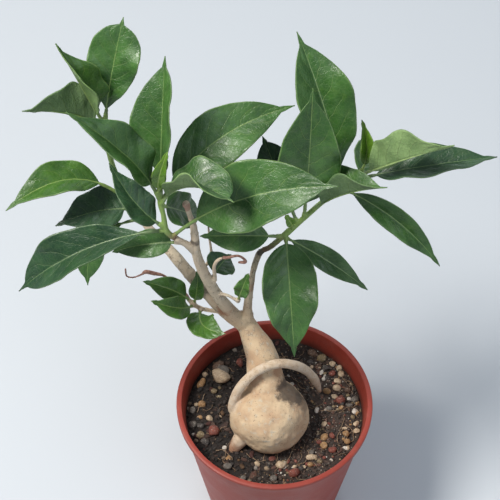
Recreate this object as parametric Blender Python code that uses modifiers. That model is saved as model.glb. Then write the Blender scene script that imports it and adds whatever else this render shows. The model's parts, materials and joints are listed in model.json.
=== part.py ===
"""Potted baobab: a swollen stem with an arching root, woody branches, leafy shoots and a round nursery pot.

The part's frame has +Z up, its origin at the centre of the pot's base, and -Y towards the front.
Run with: blender --background --python part.py
"""

import math
import random
from dataclasses import dataclass

import bmesh
import bpy
from mathutils import Matrix, Vector, noise

MM = 0.001
SEAT_GAP = 0.3 * MM

# Pot
RIM_RADIUS = 50.0 * MM
POT_HEIGHT = 86.0 * MM
BASE_RADIUS = 36.0 * MM
WALL = 1.3 * MM
LIP_REACH = 1.5 * MM
LIP_HEIGHT = 3.2 * MM
FLOOR_THICKNESS = 1.6 * MM
CHANNEL_LIFT = 2.0 * MM
CHANNEL_INNER = 13.0 * MM
CHANNEL_OUTER = 29.0 * MM
DRAIN_HOLES = 6
DRAIN_RADIUS = 4.0 * MM
TURNING_STEPS = 48

# Soil
SOIL_LEVEL = 74.0 * MM
SOIL_CLEARANCE = 0.4 * MM
SOIL_ROUGHNESS = 0.9 * MM
PEBBLES = 50
PEBBLE_SEED = 7

# (x, y, half width) in millimetres of the stones that show one by one
STONES = (
    (21, 36, 2.4), (25.5, 33.5, 2.3), (31, 30, 1.6), (34.5, 27, 1.6), (35.3, 23.4, 1.8), (30.8, 23.7, 1.6),
    (33.3, 18.8, 1.9), (32.8, 14.8, 2), (27.5, 12.7, 1.7), (31.4, 9.7, 1.5), (27.5, 27.8, 1.7),
    (34.4, 7.2, 2.3),
    (34.7, 2.8, 1.4), (42, 8, 1.9), (39.2, 4.3, 1.5), (41.4, 0.8, 1.6), (38.5, 13.3, 1.6), (25.7, -6.4, 1.5),
    (25.2, -14.6, 2), (24.9, -19.8, 2), (42, -7, 1.6), (42, -11, 1.4), (36.5, -12.9, 1.7), (37, -17.2, 1.6),
    (29.4, -22.1, 2), (18.7, -26.1, 2.4), (17.9, -30.1, 1.5), (22.7, -28.4, 1.5), (9.5, -35, 2.6),
    (28.3, 1.9, 1.5), (-28, 21, 5), (-38, 17.5, 2.6), (-29.5, 28, 3), (-17.8, 30, 2.4), (-31.2, 12.7, 1.5),
    (-37.1, 4.8, 2.1), (-42, 4, 1.8), (-38.2, -2.8, 1.5), (-33.3, -3.4, 1.7), (-42, -7, 2), (-38, -8, 1.8),
    (-38, -13.2, 2), (-31.2, -11.1, 3.2), (-35.4, -17.4, 2), (-23.1, -26.7, 1.5), (-23.8, -31.5, 2),
    (-16, -38, 1.8), (-36, 23, 1.5), (3.1, -30.5, 2.5), (-0.6, -38, 1.8), (-9, -33, 1.5),
)

# Swollen stem
BULB_CENTRE = Vector((-2.8, -7.4, 84.5)) * MM
BULB_RADIUS = 19.3 * MM
ROOT_DEPTH = 40.0 * MM
ROOT_TIP_RADIUS = 4.0 * MM
HOLE_CLEARANCE = 0.5 * MM

# Leaves
BLADE = 0.8 * MM
PETIOLE_HALF_WIDTH = 0.85 * MM
CUSHION_RADIUS = 1.15 * MM
CUSHION_REACH = 0.6 * MM
DRIP_TIP_SHARE = 0.07
DRIP_TIP_HALF_WIDTH = 1.3 * MM
TIP_HALF_WIDTH = 0.45 * MM
LEAF_FACE = Vector((0.0, -0.5, 0.87)).normalized()
LARGE_LEAF = 30.0 * MM
LARGE_CELLS = (11, 4)
SMALL_CELLS = (7, 2)


@dataclass(frozen=True)
class Stem:
    """A stem's route: (x, y, z, radius) at each bend, in millimetres, from its foot to its tip."""

    route: tuple
    steps: int = 3
    sides: int = 2


@dataclass(frozen=True)
class Leaf:
    """One leaf, with lengths in millimetres and angles in degrees.

    along is its place on the stem, 0 at the foot and 1 at the tip. Unrolled, the upper side looks
    up and to the front; roll leans it over to the right and turn twists the blade along its length.
    arch and sway bow the midrib upwards and to the right, as shares of the length. fold lifts both
    halves at the midrib and curl goes on bending the left and the right one.
    """

    stem: str
    along: float
    tip: tuple
    width: float
    arch: float = 0.14
    sway: float = 0.0
    petiole: float = 0.1
    belly: float = 0.46
    point: float = 0.95
    roll: float = 0.0
    fold: float = 14.0
    curl: tuple = (10.0, 10.0)
    turn: float = 0.0
    wave: float = 0.12
    waves: float = 3.0


# Woody stems, fused with the swollen stem in one body
WOOD = {
    "neck": Stem(((-3, -5, 88, 13.5), (-4.5, 2, 97, 10.2), (-6.5, 12, 109, 8.2),
                  (-11, 18.5, 117, 6.0), (-14.5, 22.5, 123, 4.9), (-17, 22.5, 128, 4.0)), 3, 4),
    "front_branch": Stem(((-14.5, 22, 121, 4.2), (-20.5, 21.7, 132, 3.4), (-28, 21.3, 148.5, 2.9),
                          (-34.3, 21.3, 167.4, 2.7), (-37.4, 21.7, 182, 2.3), (-37.8, 22.8, 191, 2.0),
                          (-38.4, 24.6, 199.4, 1.7), (-40, 25.5, 207, 1.25), (-41.3, 26, 214, 1.7)), 2, 3),
    "back_branch": Stem(((-16, 23, 121, 3.6), (-25, 23.8, 132, 3.3), (-31.1, 25, 141.6, 3.1),
                         (-37.4, 29, 147.2, 3.0), (-42.7, 33, 152.4, 3.0), (-50.2, 38, 160.9, 2.8),
                         (-57, 43, 166, 2.4), (-64, 47.5, 174, 1.7)), 2, 3),
    "right_branch": Stem(((-13, 21, 119, 3.6), (-13.7, 24.4, 133.9, 2.4), (-12.2, 27.4, 148.3, 1.7),
                          (-10.6, 29.9, 159.7, 1.5), (-8.2, 31.7, 168.5, 1.55),
                          (-6.6, 31.8, 171, 1.4)), 2, 2),
    "shoot_foot": Stem(((-37.6, 21.6, 183, 2.0), (-41.1, 21.4, 188.8, 1.7), (-43.8, 21.2, 191.8, 1.5),
                        (-46.4, 21.2, 194.2, 1.5)), 2, 2),
    "side_twig": Stem(((-25, 24, 131.5, 1.4), (-33, 26, 129.6, 1.1), (-38.8, 27, 131.4, 1.1),
                       (-40.6, 27.2, 133.4, 1.2)), 2, 2),
    "bent_twig": Stem(((-31.5, 21.2, 159.5, 1.3), (-29.1, 20.5, 162.8, 1.0), (-29.4, 20.2, 173.3, 0.95),
                       (-27.9, 20.2, 178.4, 0.9), (-25.8, 20.2, 180.6, 0.8)), 2, 2),
    "bare_twig": Stem(((-39.5, 31, 150.5, 1.2), (-34, 36.5, 153, 0.9), (-31.3, 38, 159.5, 0.8),
                       (-31.9, 40, 169, 0.7), (-32.3, 41, 178, 0.6)), 2, 2),
    "low_twig": Stem(((-28.8, 21, 151, 1.2), (-26, 19.3, 153, 0.9), (-22.6, 18.5, 152.5, 0.8),
                      (-18.2, 17.8, 149, 0.9)), 2, 2),
    "arching_root": Stem(((-15, -9, 84, 3.4), (-20.6, -7.5, 90, 3.0), (-19.6, -4.5, 99, 2.5),
                          (-15, -2.2, 108, 2.4), (-9.5, 0.2, 113.2, 2.3), (-3.6, 2.4, 115.2, 2.3),
                          (2.8, 4.2, 114.8, 2.4), (9.3, 6, 110.5, 2.4), (15, 8.5, 102.5, 2.4),
                          (19.6, 10.5, 92, 2.2), (22.6, 11.4, 82, 1.7), (23.6, 11.6, 76.8, 1.2)), 2, 3),
    "buttress_root": Stem(((-12, -14, 84, 5.0), (-17, -18, 79, 4.2), (-20.5, -20.5, 74, 3.0),
                           (-22, -22, 68, 2.0)), 2, 3),
}

# Green shoots, each a body of its own on the end of a woody stem
SHOOTS = {
    "left_shoot": Stem(((-46.9, 21.2, 194.7, 1.4), (-48.8, 21.3, 196.6, 1.35), (-51, 21.8, 200.8, 1.4),
                        (-51.6, 23.5, 208.2, 1.2), (-52.7, 25.3, 214.6, 1.3),
                        (-52.9, 26.2, 219.2, 1.1)), 2, 2),
    "upper_left_shoot": Stem(((-64.4, 47.8, 174.5, 1.6), (-71.5, 51, 191, 1.4), (-76, 52.6, 208, 1.3),
                              (-77.8, 53.8, 224, 1.3), (-77.9, 54.6, 236.5, 1.2)), 2, 2),
    "right_shoot": Stem(((-6.2, 31.8, 171.6, 1.4), (-2.9, 31.8, 174, 1.4), (2.1, 32.2, 180.4, 1.4),
                         (5.8, 33.1, 184.6, 1.5), (13.2, 35.7, 192, 1.3), (22.2, 38.6, 201, 1.3),
                         (31.3, 41.9, 206.5, 1.3), (38.2, 45.9, 211, 1.1)), 2, 2),
}

# Withered stalks and a dried tendril
DRY_STALKS = {
    "dry_tendril": Stem(((-42, 28.1, 134, 0.6), (-43.8, 31, 135.6, 0.6), (-47.4, 33.5, 139, 0.5),
                         (-54, 33.5, 148, 0.5), (-59, 33.5, 150.2, 0.8), (-63.2, 33, 152.3, 0.8),
                         (-65.4, 33, 150.2, 0.4), (-69.3, 33, 147.8, 0.4), (-72.7, 33, 148.8, 0.4),
                         (-73, 33, 154.5, 0.4)), 2, 1),
    "withered_twig": Stem(((-25.2, 20.2, 181.0, 0.8), (-22.7, 20.2, 181.2, 0.7), (-18.3, 20.2, 182.5, 0.6),
                           (-15.7, 20.2, 180.6, 0.6), (-14.7, 20.2, 177.7, 1.0),
                           (-17.6, 20.2, 177.4, 0.6)), 2, 1),
}

LEAVES = {
    "leaf_crown_top": Leaf("upper_left_shoot", 0.99, (-67, 72, 285), 24.5, petiole=0.04, belly=0.7,
                           point=0.5),
    "leaf_crown_dark": Leaf("upper_left_shoot", 0.97, (-95, 56, 285), 21, roll=50, fold=47),
    "leaf_crown_left": Leaf("upper_left_shoot", 0.94, (-111, 41, 259), 27, sway=0.1, roll=110, fold=35,
                            turn=-20),
    "leaf_upper_left": Leaf("left_shoot", 0.93, (-89.2, 25, 276), 23, sway=0.08, roll=28, fold=28),
    "leaf_upright": Leaf("left_shoot", 0.9, (-49.2, 60, 273.4), 28, arch=0.06, belly=0.52, point=0.8,
                         roll=-35, fold=32, wave=0.05),
    "leaf_broad_upper": Leaf("left_shoot", 0.86, (7.7, 60, 242), 27, arch=0.05, sway=-0.19),
    "leaf_curled_front": Leaf("left_shoot", 0.82, (-19.3, 5, 241), 27, arch=0.2, sway=-0.25, petiole=0.06,
                              belly=0.68, point=0.4, roll=-46, fold=42, curl=(4, 8)),
    "leaf_broad_front": Leaf("left_shoot", 0.06, (26, 14, 240.7), 33, arch=0.1, sway=-0.14, petiole=0.16),
    "leaf_under_front": Leaf("right_shoot", 0.22, (-36, 29, 186), 17, arch=0.08),
    "leaf_right_tall": Leaf("right_shoot", 0.84, (8, 75, 273.4), 30, sway=0.03, belly=0.56, roll=8,
                            fold=25),
    "leaf_right_broad": Leaf("right_shoot", 0.45, (14.5, 45, 269), 30, arch=0.06, sway=0.01),
    "leaf_right_strip": Leaf("right_shoot", 0.54, (47.8, 21, 231.5), 24, sway=-0.08, belly=0.55,
                             point=0.8, roll=-58, fold=58),
    "leaf_hidden_upper": Leaf("right_shoot", 0.38, (-6.8, 58, 223.6), 22, arch=0.05, belly=0.5,
                              point=0.7),
    "leaf_young_right": Leaf("right_shoot", 1, (37.8, 55, 238), 9, sway=0.15, fold=40),
    "leaf_right_back": Leaf("right_shoot", 0.93, (50, 81, 190), 18),
    "leaf_far_right": Leaf("right_shoot", 0.94, (100, 47, 221.7), 20, roll=-25, fold=25),
    "leaf_right_fold": Leaf("right_shoot", 0.97, (75.7, 28, 251.5), 27, petiole=0.16, roll=-110, fold=35),
    "leaf_right_drooping": Leaf("right_shoot", 0.83, (77, 22, 172), 14, sway=-0.1, petiole=0.03, roll=15,
                                fold=28),
    "leaf_hanging": Leaf("right_shoot", 0.25, (9, -3, 132), 28, petiole=0.01, belly=0.38, wave=0.2),
    "leaf_right_low": Leaf("right_shoot", 0.22, (44, 21, 154), 12, arch=0.05, sway=-0.05, petiole=0.03),
    "leaf_low_upper": Leaf("side_twig", 0.9, (-64.3, 27, 152.6), 13, sway=0.1),
    "leaf_low_lower": Leaf("side_twig", 0.96, (-59.4, 12, 157.6), 12, sway=-0.14),
    "leaf_low_round": Leaf("side_twig", 0.72, (-24.4, 8, 135.4), 15, sway=0.4, petiole=0.02, belly=0.4,
                           point=0.6, roll=-10),
    "leaf_low_upright": Leaf("side_twig", 0.99, (-37.4, 28, 161), 8, sway=0.06),
    "leaf_behind_branch": Leaf("front_branch", 0.42, (-21.6, 36, 162.4), 16, sway=-0.1),
    "leaf_crinkled": Leaf("low_twig", 0.98, (-13.2, 19.5, 169.5), 8, wave=0.3),
    "leaf_far_left": Leaf("upper_left_shoot", 0.18, (-125, 33, 200), 20, sway=0.36, petiole=0.2, point=1,
                          roll=17, fold=22),
    "leaf_left_second": Leaf("upper_left_shoot", 0.11, (-105.3, 42, 177), 23, arch=0.06, sway=0.12,
                             petiole=0.05, belly=0.36, point=1, roll=15),
    "leaf_left_dark": Leaf("left_shoot", 0.3, (-75.3, 36, 230.4), 16, sway=-0.13, petiole=0.04, belly=0.4,
                           roll=22, fold=15),
    "leaf_left_large": Leaf("left_shoot", 0.26, (-121, 11, 167), 25, sway=0.125, belly=0.6, point=0.65,
                            roll=10, fold=27, curl=(20, 8)),
    "leaf_left_low": Leaf("shoot_foot", 0.72, (-77, 25, 179), 14, sway=0.05, petiole=0.04, belly=0.36,
                          point=0.8),
    "leaf_left_tip": Leaf("upper_left_shoot", 0.01, (-92, 31, 144), 15, sway=0.4, belly=0.62, point=0.7),
    "leaf_young_bright": Leaf("left_shoot", 1, (-48, 24.5, 251), 7, sway=-0.06),
    "leaf_behind_stub": Leaf("left_shoot", 0.8, (-36, 44, 182), 18, arch=0, petiole=0.04, belly=0.4,
                             point=0.6),
    "leaf_bud": Leaf("right_shoot", 0.33, (4, 32, 198), 5),
}


def through(points, steps):
    """Points along a smooth curve through the given ones, each a four-part vector."""
    ends = [points[0] * 2 - points[1], *points, points[-1] * 2 - points[-2]]
    found = []
    for i in range(1, len(ends) - 2):
        before, start, end, after = ends[i - 1 : i + 3]
        for step in range(steps):
            t = step / steps
            found.append(
                0.5 * (start * 2 + (end - before) * t + (before * 2 - start * 5 + end * 4 - after) * t ** 2
                       + (start * 3 - before - end * 3 + after) * t ** 3))
    return [*found, points[-1].copy()]


def route_of(stem):
    """The stem's smooth route as (x, y, z, radius) vectors in metres."""
    return through([Vector(p) * MM for p in stem.route], stem.steps)


def place_on(stem, along):
    """(point, direction, radius) at a share of the stem's length."""
    route = route_of(stem)
    lengths = [(b.xyz - a.xyz).length for a, b in zip(route, route[1:])]
    left = along * sum(lengths)
    for a, b, length in zip(route, route[1:], lengths):
        if left <= length or b is route[-1]:
            spot = a.lerp(b, min(1.0, left / length))
            return spot.xyz, (b.xyz - a.xyz).normalized(), spot.w
        left -= length
    return None


def collection_named(name):
    """A new collection linked to the scene."""
    made = bpy.data.collections.new(name)
    bpy.context.scene.collection.children.link(made)
    return made


def material_named(name, colour, roughness):
    """A plain Principled material."""
    made = bpy.data.materials.new(name)
    made.use_nodes = True
    shader = made.node_tree.nodes["Principled BSDF"]
    shader.inputs["Base Color"].default_value = (*colour, 1)
    shader.inputs["Roughness"].default_value = roughness
    return made


def object_from(bm, name, home, material=None):
    """Makes an object of a bmesh, in the given collection."""
    mesh = bpy.data.meshes.new(name)
    bm.to_mesh(mesh)
    bm.free()
    made = bpy.data.objects.new(name, mesh)
    home.objects.link(made)
    if material:
        mesh.materials.append(material)
    return made


def applied(obj):
    """Applies the object's modifiers and returns the object."""
    graph = bpy.context.evaluated_depsgraph_get()
    mesh = bpy.data.meshes.new_from_object(obj.evaluated_get(graph))
    obj.modifiers.clear()
    obj.data = mesh
    return obj


def tube(name, stem, home, material=None):
    """A closed tapering tube along the stem's route, as a welded mesh."""
    curve = bpy.data.curves.new(name, "CURVE")
    curve.dimensions = "3D"
    curve.bevel_depth = 1.0
    curve.bevel_resolution = stem.sides
    curve.use_fill_caps = True
    route = route_of(stem)
    spline = curve.splines.new("POLY")
    spline.points.add(len(route) - 1)
    for point, spot in zip(spline.points, route):
        point.co = (*spot.xyz, 1)
        point.radius = spot.w
    guide = bpy.data.objects.new(name + "_route", curve)
    home.objects.link(guide)
    graph = bpy.context.evaluated_depsgraph_get()
    graph.update()
    bm = bmesh.new()
    bm.from_mesh(bpy.data.meshes.new_from_object(guide.evaluated_get(graph)))
    bmesh.ops.remove_doubles(bm, verts=bm.verts, dist=0.01 * MM)
    bpy.data.objects.remove(guide)
    return object_from(bm, name, home, material)


def union(body, pieces, solver="EXACT"):
    """Joins the pieces to the body in one Boolean, applies it and removes them."""
    joined = collection_named(body.name + "_joined")
    for piece in pieces:
        for home in piece.users_collection:
            home.objects.unlink(piece)
        joined.objects.link(piece)
    join = body.modifiers.new("join", "BOOLEAN")
    join.operation = "UNION"
    join.operand_type = "COLLECTION"
    join.collection = joined
    join.solver = solver
    applied(body)
    for piece in list(joined.objects):
        bpy.data.objects.remove(piece)
    bpy.data.collections.remove(joined)
    return body


def cut(body, cutter):
    """Takes the cutter out of the body with a Boolean that stays live."""
    cutter.hide_render = True
    cutter.display_type = "WIRE"
    hollow = body.modifiers.new("cut_" + cutter.name, "BOOLEAN")
    hollow.operation = "DIFFERENCE"
    hollow.object = cutter
    return body


def turned(name, profile, home, material=None):
    """A solid of revolution about Z. The profile climbs the inner side and comes down the outer one."""
    bm = bmesh.new()
    verts = [bm.verts.new((radius, 0, height)) for radius, height in profile]
    for a, b in zip(verts, verts[1:]):
        bm.edges.new((a, b))
    made = object_from(bm, name, home, material)
    screw = made.modifiers.new("turn", "SCREW")
    screw.steps = TURNING_STEPS
    screw.render_steps = TURNING_STEPS
    screw.use_merge_vertices = True
    screw.merge_threshold = 0.00001
    return made


def wall_radius(height):
    """The outer radius of the pot's tapered wall at a height."""
    top = RIM_RADIUS - LIP_REACH
    return BASE_RADIUS + (top - BASE_RADIUS) * height / POT_HEIGHT


def build_pot(home, tools, material):
    """The thin tapered pot with its lip, a drainage channel in the base and round drain holes."""
    under_lip = POT_HEIGHT - LIP_HEIGHT
    lifted = CHANNEL_LIFT + FLOOR_THICKNESS
    slope = 2.5 * MM
    profile = [
        (0, FLOOR_THICKNESS),
        (CHANNEL_INNER - slope, FLOOR_THICKNESS),
        (CHANNEL_INNER, lifted),
        (CHANNEL_OUTER, lifted),
        (CHANNEL_OUTER + slope, FLOOR_THICKNESS),
        (wall_radius(FLOOR_THICKNESS) - WALL, FLOOR_THICKNESS),
        (wall_radius(POT_HEIGHT) - WALL, POT_HEIGHT - 0.6 * MM),
        (wall_radius(POT_HEIGHT) - 0.5 * WALL, POT_HEIGHT),
        (RIM_RADIUS - 0.6 * MM, POT_HEIGHT),
        (RIM_RADIUS, POT_HEIGHT - 0.6 * MM),
        (RIM_RADIUS, under_lip),
        (wall_radius(under_lip), under_lip - 0.4 * MM),
        (wall_radius(1.0 * MM), 1.0 * MM),
        (wall_radius(0) - 1.0 * MM, 0),
        (CHANNEL_OUTER + slope, 0),
        (CHANNEL_OUTER, CHANNEL_LIFT),
        (CHANNEL_INNER, CHANNEL_LIFT),
        (CHANNEL_INNER - slope, 0),
        (0, 0),
    ]
    pot = turned("pot", profile, home, material)
    bm = bmesh.new()
    ring = 0.5 * (CHANNEL_INNER + CHANNEL_OUTER)
    for i in range(DRAIN_HOLES):
        turn = Matrix.Rotation(math.tau * i / DRAIN_HOLES, 4, "Z")
        bmesh.ops.create_cone(
            bm, cap_ends=True, segments=16, radius1=DRAIN_RADIUS, radius2=DRAIN_RADIUS,
            depth=20 * MM, matrix=turn @ Matrix.Translation((ring, 0, 0)))
    return cut(pot, object_from(bm, "drain_cutter", tools))


def bulb(name, grow, home, material=None):
    """The swollen stem and its tap root: a lumpy ball drawn down to a blunt root, grown by a margin."""
    bm = bmesh.new()
    bmesh.ops.create_uvsphere(bm, u_segments=22, v_segments=16, radius=1.0)
    for vert in bm.verts:
        way = vert.co.normalized()
        lump = 0.055 * noise.noise(way * 1.6 + Vector((3, 1, 2))) + 0.02 * noise.noise(way * 4.1)
        spot = way * (BULB_RADIUS * (1 + lump))
        spot.x *= 1.02
        if way.z < -0.45:
            fall = (-0.45 - way.z) / 0.55
            width = (1 - fall) + fall * ROOT_TIP_RADIUS / BULB_RADIUS
            spot.x = way.x / max(way.xy.length, 1e-6) * BULB_RADIUS * 0.89 * width ** 1.4
            spot.y = way.y / max(way.xy.length, 1e-6) * BULB_RADIUS * 0.89 * width ** 1.4
            spot.z = -0.45 * BULB_RADIUS - fall * (ROOT_DEPTH - 0.45 * BULB_RADIUS)
        if way.z < -0.999:
            spot.x = 0
            spot.y = 0
        spread = Vector((way.x, way.y, way.z * 0.6)).normalized()
        vert.co = BULB_CENTRE + spot + spread * grow
    bmesh.ops.recalc_face_normals(bm, faces=bm.faces)
    return object_from(bm, name, home, material)


def pebble(rng, size, home, spot):
    """One angular stone, wider than high, turned at random."""
    bm = bmesh.new()
    bmesh.ops.create_icosphere(bm, subdivisions=1, radius=1.0)
    for vert in bm.verts:
        vert.co *= rng.uniform(0.82, 1.12)
    shape = Matrix.Diagonal((size * rng.uniform(0.8, 1.3), size, size * rng.uniform(0.6, 0.85), 1))
    turn = Matrix.Rotation(rng.uniform(0, math.tau), 4, "Z") @ Matrix.Rotation(rng.uniform(-0.4, 0.4), 4, "X")
    bmesh.ops.transform(bm, matrix=Matrix.Translation(spot) @ turn @ shape, verts=bm.verts)
    return object_from(bm, "pebble", home)


def pebble_spots(rng):
    """(place, size) of each stone: clear of the wall, the swollen stem, the roots and one another."""
    kept_clear = [(BULB_CENTRE.xy, BULB_RADIUS + 2.5 * MM)]
    kept_clear += [(Vector(WOOD["arching_root"].route[-1][:2]) * MM, 3.5 * MM),
                   (Vector(WOOD["buttress_root"].route[-2][:2]) * MM, 6.5 * MM)]
    found = []
    for x, y, half_width in STONES:
        size = half_width * MM
        spot = Vector((x, y)) * MM
        reach = wall_radius(SOIL_LEVEL) - WALL - 1.3 * size - 1.5 * MM
        spot *= min(1.0, reach / spot.length)
        near_stone = any((spot - place.xy).length < size + other for place, other in found)
        if not near_stone and all((spot - c).length > r + 1.3 * size for c, r in kept_clear):
            found.append((spot.to_3d() + Vector((0, 0, SOIL_LEVEL + 0.15 * size)), size))
    while len(found) < PEBBLES:
        size = rng.uniform(1.5, 3.6) * MM
        reach = wall_radius(SOIL_LEVEL) - WALL - 1.3 * size - 1.5 * MM
        spot = Vector((rng.uniform(-reach, reach), rng.uniform(-reach, reach)))
        if spot.length > reach or any((spot - c).length < r + 1.3 * size for c, r in kept_clear):
            continue
        if any((spot - place.xy).length < 1.25 * (size + other) for place, other in found):
            continue
        found.append((spot.to_3d() + Vector((0, 0, SOIL_LEVEL + 0.15 * size)), size))
    return found


def build_soil(home, tools, material):
    """The potting mix: it fills the pot below the rim, rough on top, with stones and the stem's hole."""
    lifted = CHANNEL_LIFT + FLOOR_THICKNESS + SOIL_CLEARANCE
    inner = wall_radius(SOIL_LEVEL) - WALL - SOIL_CLEARANCE
    profile = [(0, SOIL_LEVEL)]
    profile += [(inner * share, SOIL_LEVEL) for share in (0.3, 0.48, 0.62, 0.75, 0.87, 0.95)]
    profile += [(inner, SOIL_LEVEL - 0.8 * MM), (wall_radius(lifted) - WALL - SOIL_CLEARANCE, lifted),
                (0, lifted)]
    soil = applied(turned("soil", profile, home, material))
    for vert in soil.data.vertices:
        if vert.co.z > SOIL_LEVEL - 0.1 * MM:
            vert.co.z += SOIL_ROUGHNESS * noise.noise(vert.co * 110 + Vector((5, 2, 9)))
    rng = random.Random(PEBBLE_SEED)
    stones = [pebble(rng, size, tools, spot) for spot, size in pebble_spots(rng)]
    union(soil, stones)
    cut(soil, bulb("bulb_hole", HOLE_CLEARANCE, tools))
    for name in ("buttress_root", "arching_root"):
        wide = Stem(tuple((x, y, z, r + HOLE_CLEARANCE / MM) for x, y, z, r in WOOD[name].route), 2, 3)
        cut(soil, tube(name + "_hole", wide, tools))
    return soil


def stem_carrying(name):
    """The woody stem or green shoot of that name."""
    return WOOD.get(name) or SHOOTS[name]


def petiole_start(leaf):
    """(axis point, petiole direction, cushion length): where a leaf leaves its stem, and which way."""
    foot, forward, radius = place_on(stem_carrying(leaf.stem), leaf.along)
    tip = Vector(leaf.tip) * MM
    chord = tip - foot
    side = chord.cross(LEAF_FACE).normalized()
    lift = side.cross(chord).normalized()
    bend = foot + 0.5 * chord + chord.length * (leaf.arch * lift + leaf.sway * side)
    out = (bend - foot).normalized()
    across = max(0.35, out.cross(forward).length)
    reach = min(radius + 5 * MM, (radius + CUSHION_RADIUS) / across) + CUSHION_REACH
    return foot, out, reach, bend


def cushion(leaf, home):
    """The short swelling on the stem that a leaf stalk stands on."""
    foot, out, reach, _ = petiole_start(leaf)
    bm = bmesh.new()
    lie = out.to_track_quat("Z", "Y").to_matrix().to_4x4()
    bmesh.ops.create_cone(
        bm, cap_ends=True, segments=6, radius1=CUSHION_RADIUS * 1.15, radius2=CUSHION_RADIUS, depth=reach,
        matrix=Matrix.Translation(foot + out * 0.5 * reach) @ lie)
    return object_from(bm, "cushion", home)


def half_width(leaf, share):
    """Half the blade's width at a share of the leaf's length, stalk and drip tip included."""
    t = (share - leaf.petiole) / (1 - leaf.petiole)
    if t <= 0:
        return PETIOLE_HALF_WIDTH
    tail = DRIP_TIP_HALF_WIDTH * min(1.0, (1 - t) / DRIP_TIP_SHARE)
    body = 0.0
    s = t / (1 - DRIP_TIP_SHARE)
    if s < 1:
        rise = leaf.point * leaf.belly / (1 - leaf.belly)
        peak = leaf.belly ** rise * (1 - leaf.belly) ** leaf.point
        body = 0.5 * leaf.width * MM * s ** rise * (1 - s) ** leaf.point / peak
    floor = PETIOLE_HALF_WIDTH if t < 0.5 else TIP_HALF_WIDTH
    return max(body, tail if t > 0.5 else 0.0, floor)


def across_blade(leaf, side, v):
    """(sideways, upwards) of a point of the cross-section, as shares of the half width."""
    fold = math.radians(leaf.fold)
    curl = math.radians(leaf.curl[0] if side < 0 else leaf.curl[1])
    if abs(curl) < 1e-4:
        return v * math.cos(fold), v * math.sin(fold)
    end = fold + curl * v
    return (math.sin(end) - math.sin(fold)) / curl, (math.cos(fold) - math.cos(end)) / curl


def blade_point(leaf, u, v):
    """A point of the leaf's middle surface: u runs from stalk to tip, v from -1 to 1 across."""
    foot, out, reach, bend = petiole_start(leaf)
    start = foot + out * (reach + SEAT_GAP)
    tip = Vector(leaf.tip) * MM
    spot = start * (1 - u) ** 2 + bend * 2 * u * (1 - u) + tip * u ** 2
    along = ((bend - start) * (1 - u) + (tip - bend) * u).normalized()
    side = along.cross(LEAF_FACE).normalized()
    side = Matrix.Rotation(math.radians(leaf.roll + leaf.turn * (u - 0.5)), 3, along) @ side
    up = side.cross(along).normalized()
    width = half_width(leaf, u)
    sign = -1 if v < 0 else 1
    sideways, upwards = across_blade(leaf, sign, abs(v))
    blade = max(0.0, u - leaf.petiole) / (1 - leaf.petiole)
    ripple = leaf.wave * abs(v) ** 1.5 * math.sin(math.tau * leaf.waves * u + 1.9 * sign)
    upwards = (upwards + ripple) * min(1.0, 4 * blade) * min(1.0, 3 * (1 - blade))
    return spot + side * (width * sign * sideways) + up * (width * upwards)


def build_leaf(name, leaf, home, material):
    """A thin folded blade on its stalk: a flat grid moved into place, then thickened alike on both faces."""
    large = leaf.width * MM > 0.5 * LARGE_LEAF
    cells = LARGE_CELLS if large else SMALL_CELLS
    bm = bmesh.new()
    bmesh.ops.create_grid(bm, x_segments=cells[0], y_segments=cells[1], size=1.0)
    for vert in bm.verts:
        vert.co = blade_point(leaf, 0.5 * (vert.co.x + 1), vert.co.y)
    bmesh.ops.triangulate(bm, faces=bm.faces)
    made = object_from(bm, name, home, material)
    thick = made.modifiers.new("thickness", "SOLIDIFY")
    thick.thickness = BLADE
    thick.offset = 0.0
    return made


def build_wood(home, tools, material):
    """The swollen stem with its neck, branches, twigs and roots, and the cushions of the leaves on them."""
    wood = bulb("swollen_stem", 0.0, home, material)
    pieces = [tube(name, stem, tools) for name, stem in WOOD.items()]
    pieces += [cushion(leaf, tools) for leaf in LEAVES.values() if leaf.stem in WOOD]
    return union(wood, pieces)


def build_shoots(home, tools, material):
    """Each green shoot with the cushions that its leaves stand on."""
    for name, stem in SHOOTS.items():
        shoot = tube(name, stem, home, material)
        union(shoot, [cushion(leaf, tools) for leaf in LEAVES.values() if leaf.stem == name])


def main():
    """Clears the scene and builds every piece of the potted plant."""
    for obj in list(bpy.data.objects):
        bpy.data.objects.remove(obj)
    home = collection_named("potted_baobab")
    tools = collection_named("cutters")
    build_pot(home, tools, material_named("pot_plastic", (0.42, 0.06, 0.03), 0.4))
    build_soil(home, tools, material_named("potting_mix", (0.06, 0.04, 0.03), 0.9))
    build_wood(home, tools, material_named("bark", (0.55, 0.45, 0.32), 0.8))
    build_shoots(home, tools, material_named("green_stem", (0.25, 0.38, 0.10), 0.5))
    dried = material_named("dried_stalk", (0.30, 0.14, 0.09), 0.7)
    for name, stem in DRY_STALKS.items():
        tube(name, stem, home, dried)
    foliage = material_named("leaf", (0.07, 0.20, 0.04), 0.35)
    for name, leaf in LEAVES.items():
        build_leaf(name, leaf, home, foliage)


if __name__ == "__main__":
    main()
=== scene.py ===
"""Looks of the potted baobab: a swollen stem, woody branches and glossy leaves in a round nursery pot.

The tables give lengths in millimetres and angles in degrees. Everything that is built is in metres, in
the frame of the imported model: +Z up, the origin at the centre of the pot's base, -Y towards the front.
"""

import json
import logging
import math
import random
from dataclasses import dataclass, field
from enum import Enum

import bmesh
import bpy
from mathutils import Matrix, Vector, kdtree, noise

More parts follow.
